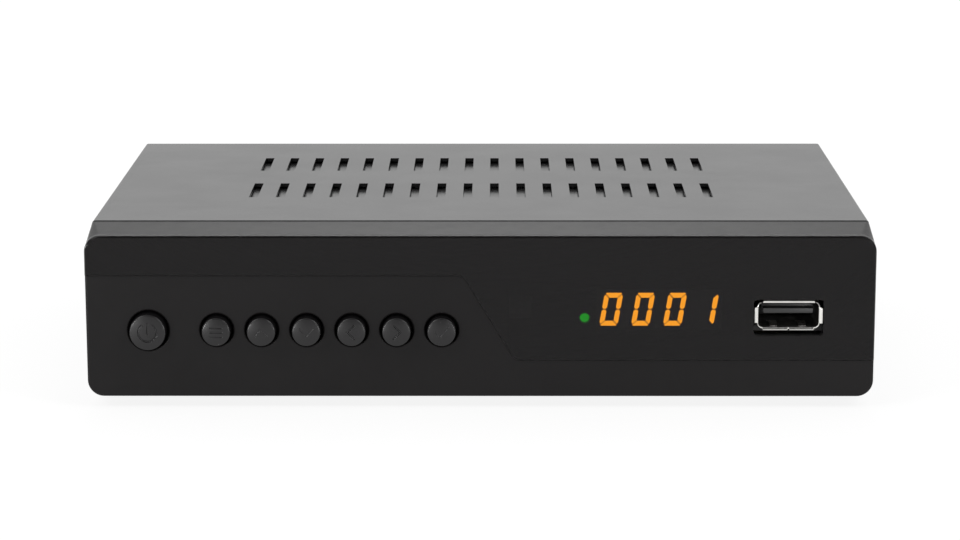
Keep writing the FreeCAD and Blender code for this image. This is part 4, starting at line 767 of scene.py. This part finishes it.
def make_world():
    """White to the camera. Its light and its reflections fall off towards the front."""
    world = bpy.data.worlds.new("studio")
    world.use_nodes = True
    tree = world.node_tree
    background = tree.nodes["Background"]
    background.inputs["Color"].default_value = (1.0, 1.0, 1.0, 1.0)
    direction = tree.nodes.new("ShaderNodeTexCoord").outputs["Generated"]
    split = tree.nodes.new("ShaderNodeSeparateXYZ")
    tree.links.new(direction, split.inputs[0])
    front = mapped(tree, split.outputs["Y"], *FRONT_FADE, FRONT_LIGHT, 1.0)
    low = mapped(tree, split.outputs["Z"], *LOW_FADE, LOW_LIGHT, 1.0)
    toward_room = tree.nodes.new("ShaderNodeVectorMath")
    toward_room.operation = "DOT_PRODUCT"
    toward_room.inputs[1].default_value = ROOM_DIRECTION
    tree.links.new(direction, toward_room.inputs[0])
    room = mapped(tree, toward_room.outputs["Value"], *ROOM_FADE, 1.0, ROOM_LIGHT)
    surroundings = combined(tree, "MULTIPLY", combined(tree, "MULTIPLY", front, low), room)
    level = mapped(tree, seen_directly(tree), 0.0, 1.0, WORLD_LIGHT, 1.0, "LINEAR")
    light = combined(tree, "MULTIPLY", level, surroundings)
    path = tree.nodes.new("ShaderNodeLightPath")
    strength = combined(tree, "MAXIMUM", light, path.outputs["Is Camera Ray"])
    tree.links.new(strength, background.inputs["Strength"])
    bpy.context.scene.world = world


OBJECT_MIDDLE = (0.0, 0.0, 0.02)
FRONT_LEFT = (-0.04, -0.06, 0.019)
STRIP = 0.034  # height


def make_lamp(name, place, aim, size, power, height=None):
    """A disk, or a strip of this height."""
    lamp = bpy.data.lights.new(name, "AREA")
    lamp.shape = "RECTANGLE" if height else "DISK"
    lamp.size = size
    lamp.size_y = height or size
    lamp.energy = power
    thing = bpy.data.objects.new(name, lamp)
    thing.location = place
    thing.rotation_euler = (Vector(aim) - Vector(place)).to_track_quat("-Z", "Y").to_euler()
    bpy.context.scene.collection.objects.link(thing)


def make_lamps():
    make_lamp("left_lamp", (-0.5, -0.45, 0.6), OBJECT_MIDDLE, size=0.35, power=1.6)
    make_lamp("right_lamp", (0.55, -0.4, 0.65), OBJECT_MIDDLE, size=0.35, power=1.8)
    # these two stand lower than the lid, so that it doesn't mirror them
    make_lamp("left_low_lamp", (-0.48, -0.7, 0.019), FRONT_LEFT, size=0.3, power=2.2, height=STRIP)
    make_lamp("right_low_lamp", (0.4, -0.72, 0.019), FRONT_LEFT, size=0.3, power=1.2, height=STRIP)
    make_lamp("back_lamp", (0.0, 0.6, 0.7), OBJECT_MIDDLE, size=0.5, power=1.6)


# The camera stands a little right of the middle and looks down at the front


CAMERA_PLACE = (0.00347, -0.67131, 0.15992)
CAMERA_PITCH = 0.20888
CAMERA_ROLL = 0.00102
CAMERA_TURN = 0.00547
CAMERA_LENS = 110.62


def make_camera():
    data = bpy.data.cameras.new("camera")
    data.sensor_width = 36.0
    data.lens = CAMERA_LENS
    camera = bpy.data.objects.new("camera", data)
    camera.location = CAMERA_PLACE
    camera.rotation_euler = (math.pi / 2 - CAMERA_PITCH, CAMERA_ROLL, CAMERA_TURN)
    bpy.context.scene.collection.objects.link(camera)
    bpy.context.scene.camera = camera


make_floor()
make_world()
make_lamps()
make_camera()
bpy.context.scene.view_settings.view_transform = "Standard"


def write_sizes():
    """Does nothing but import json; it writes no sizes."""
    import json


write_sizes()
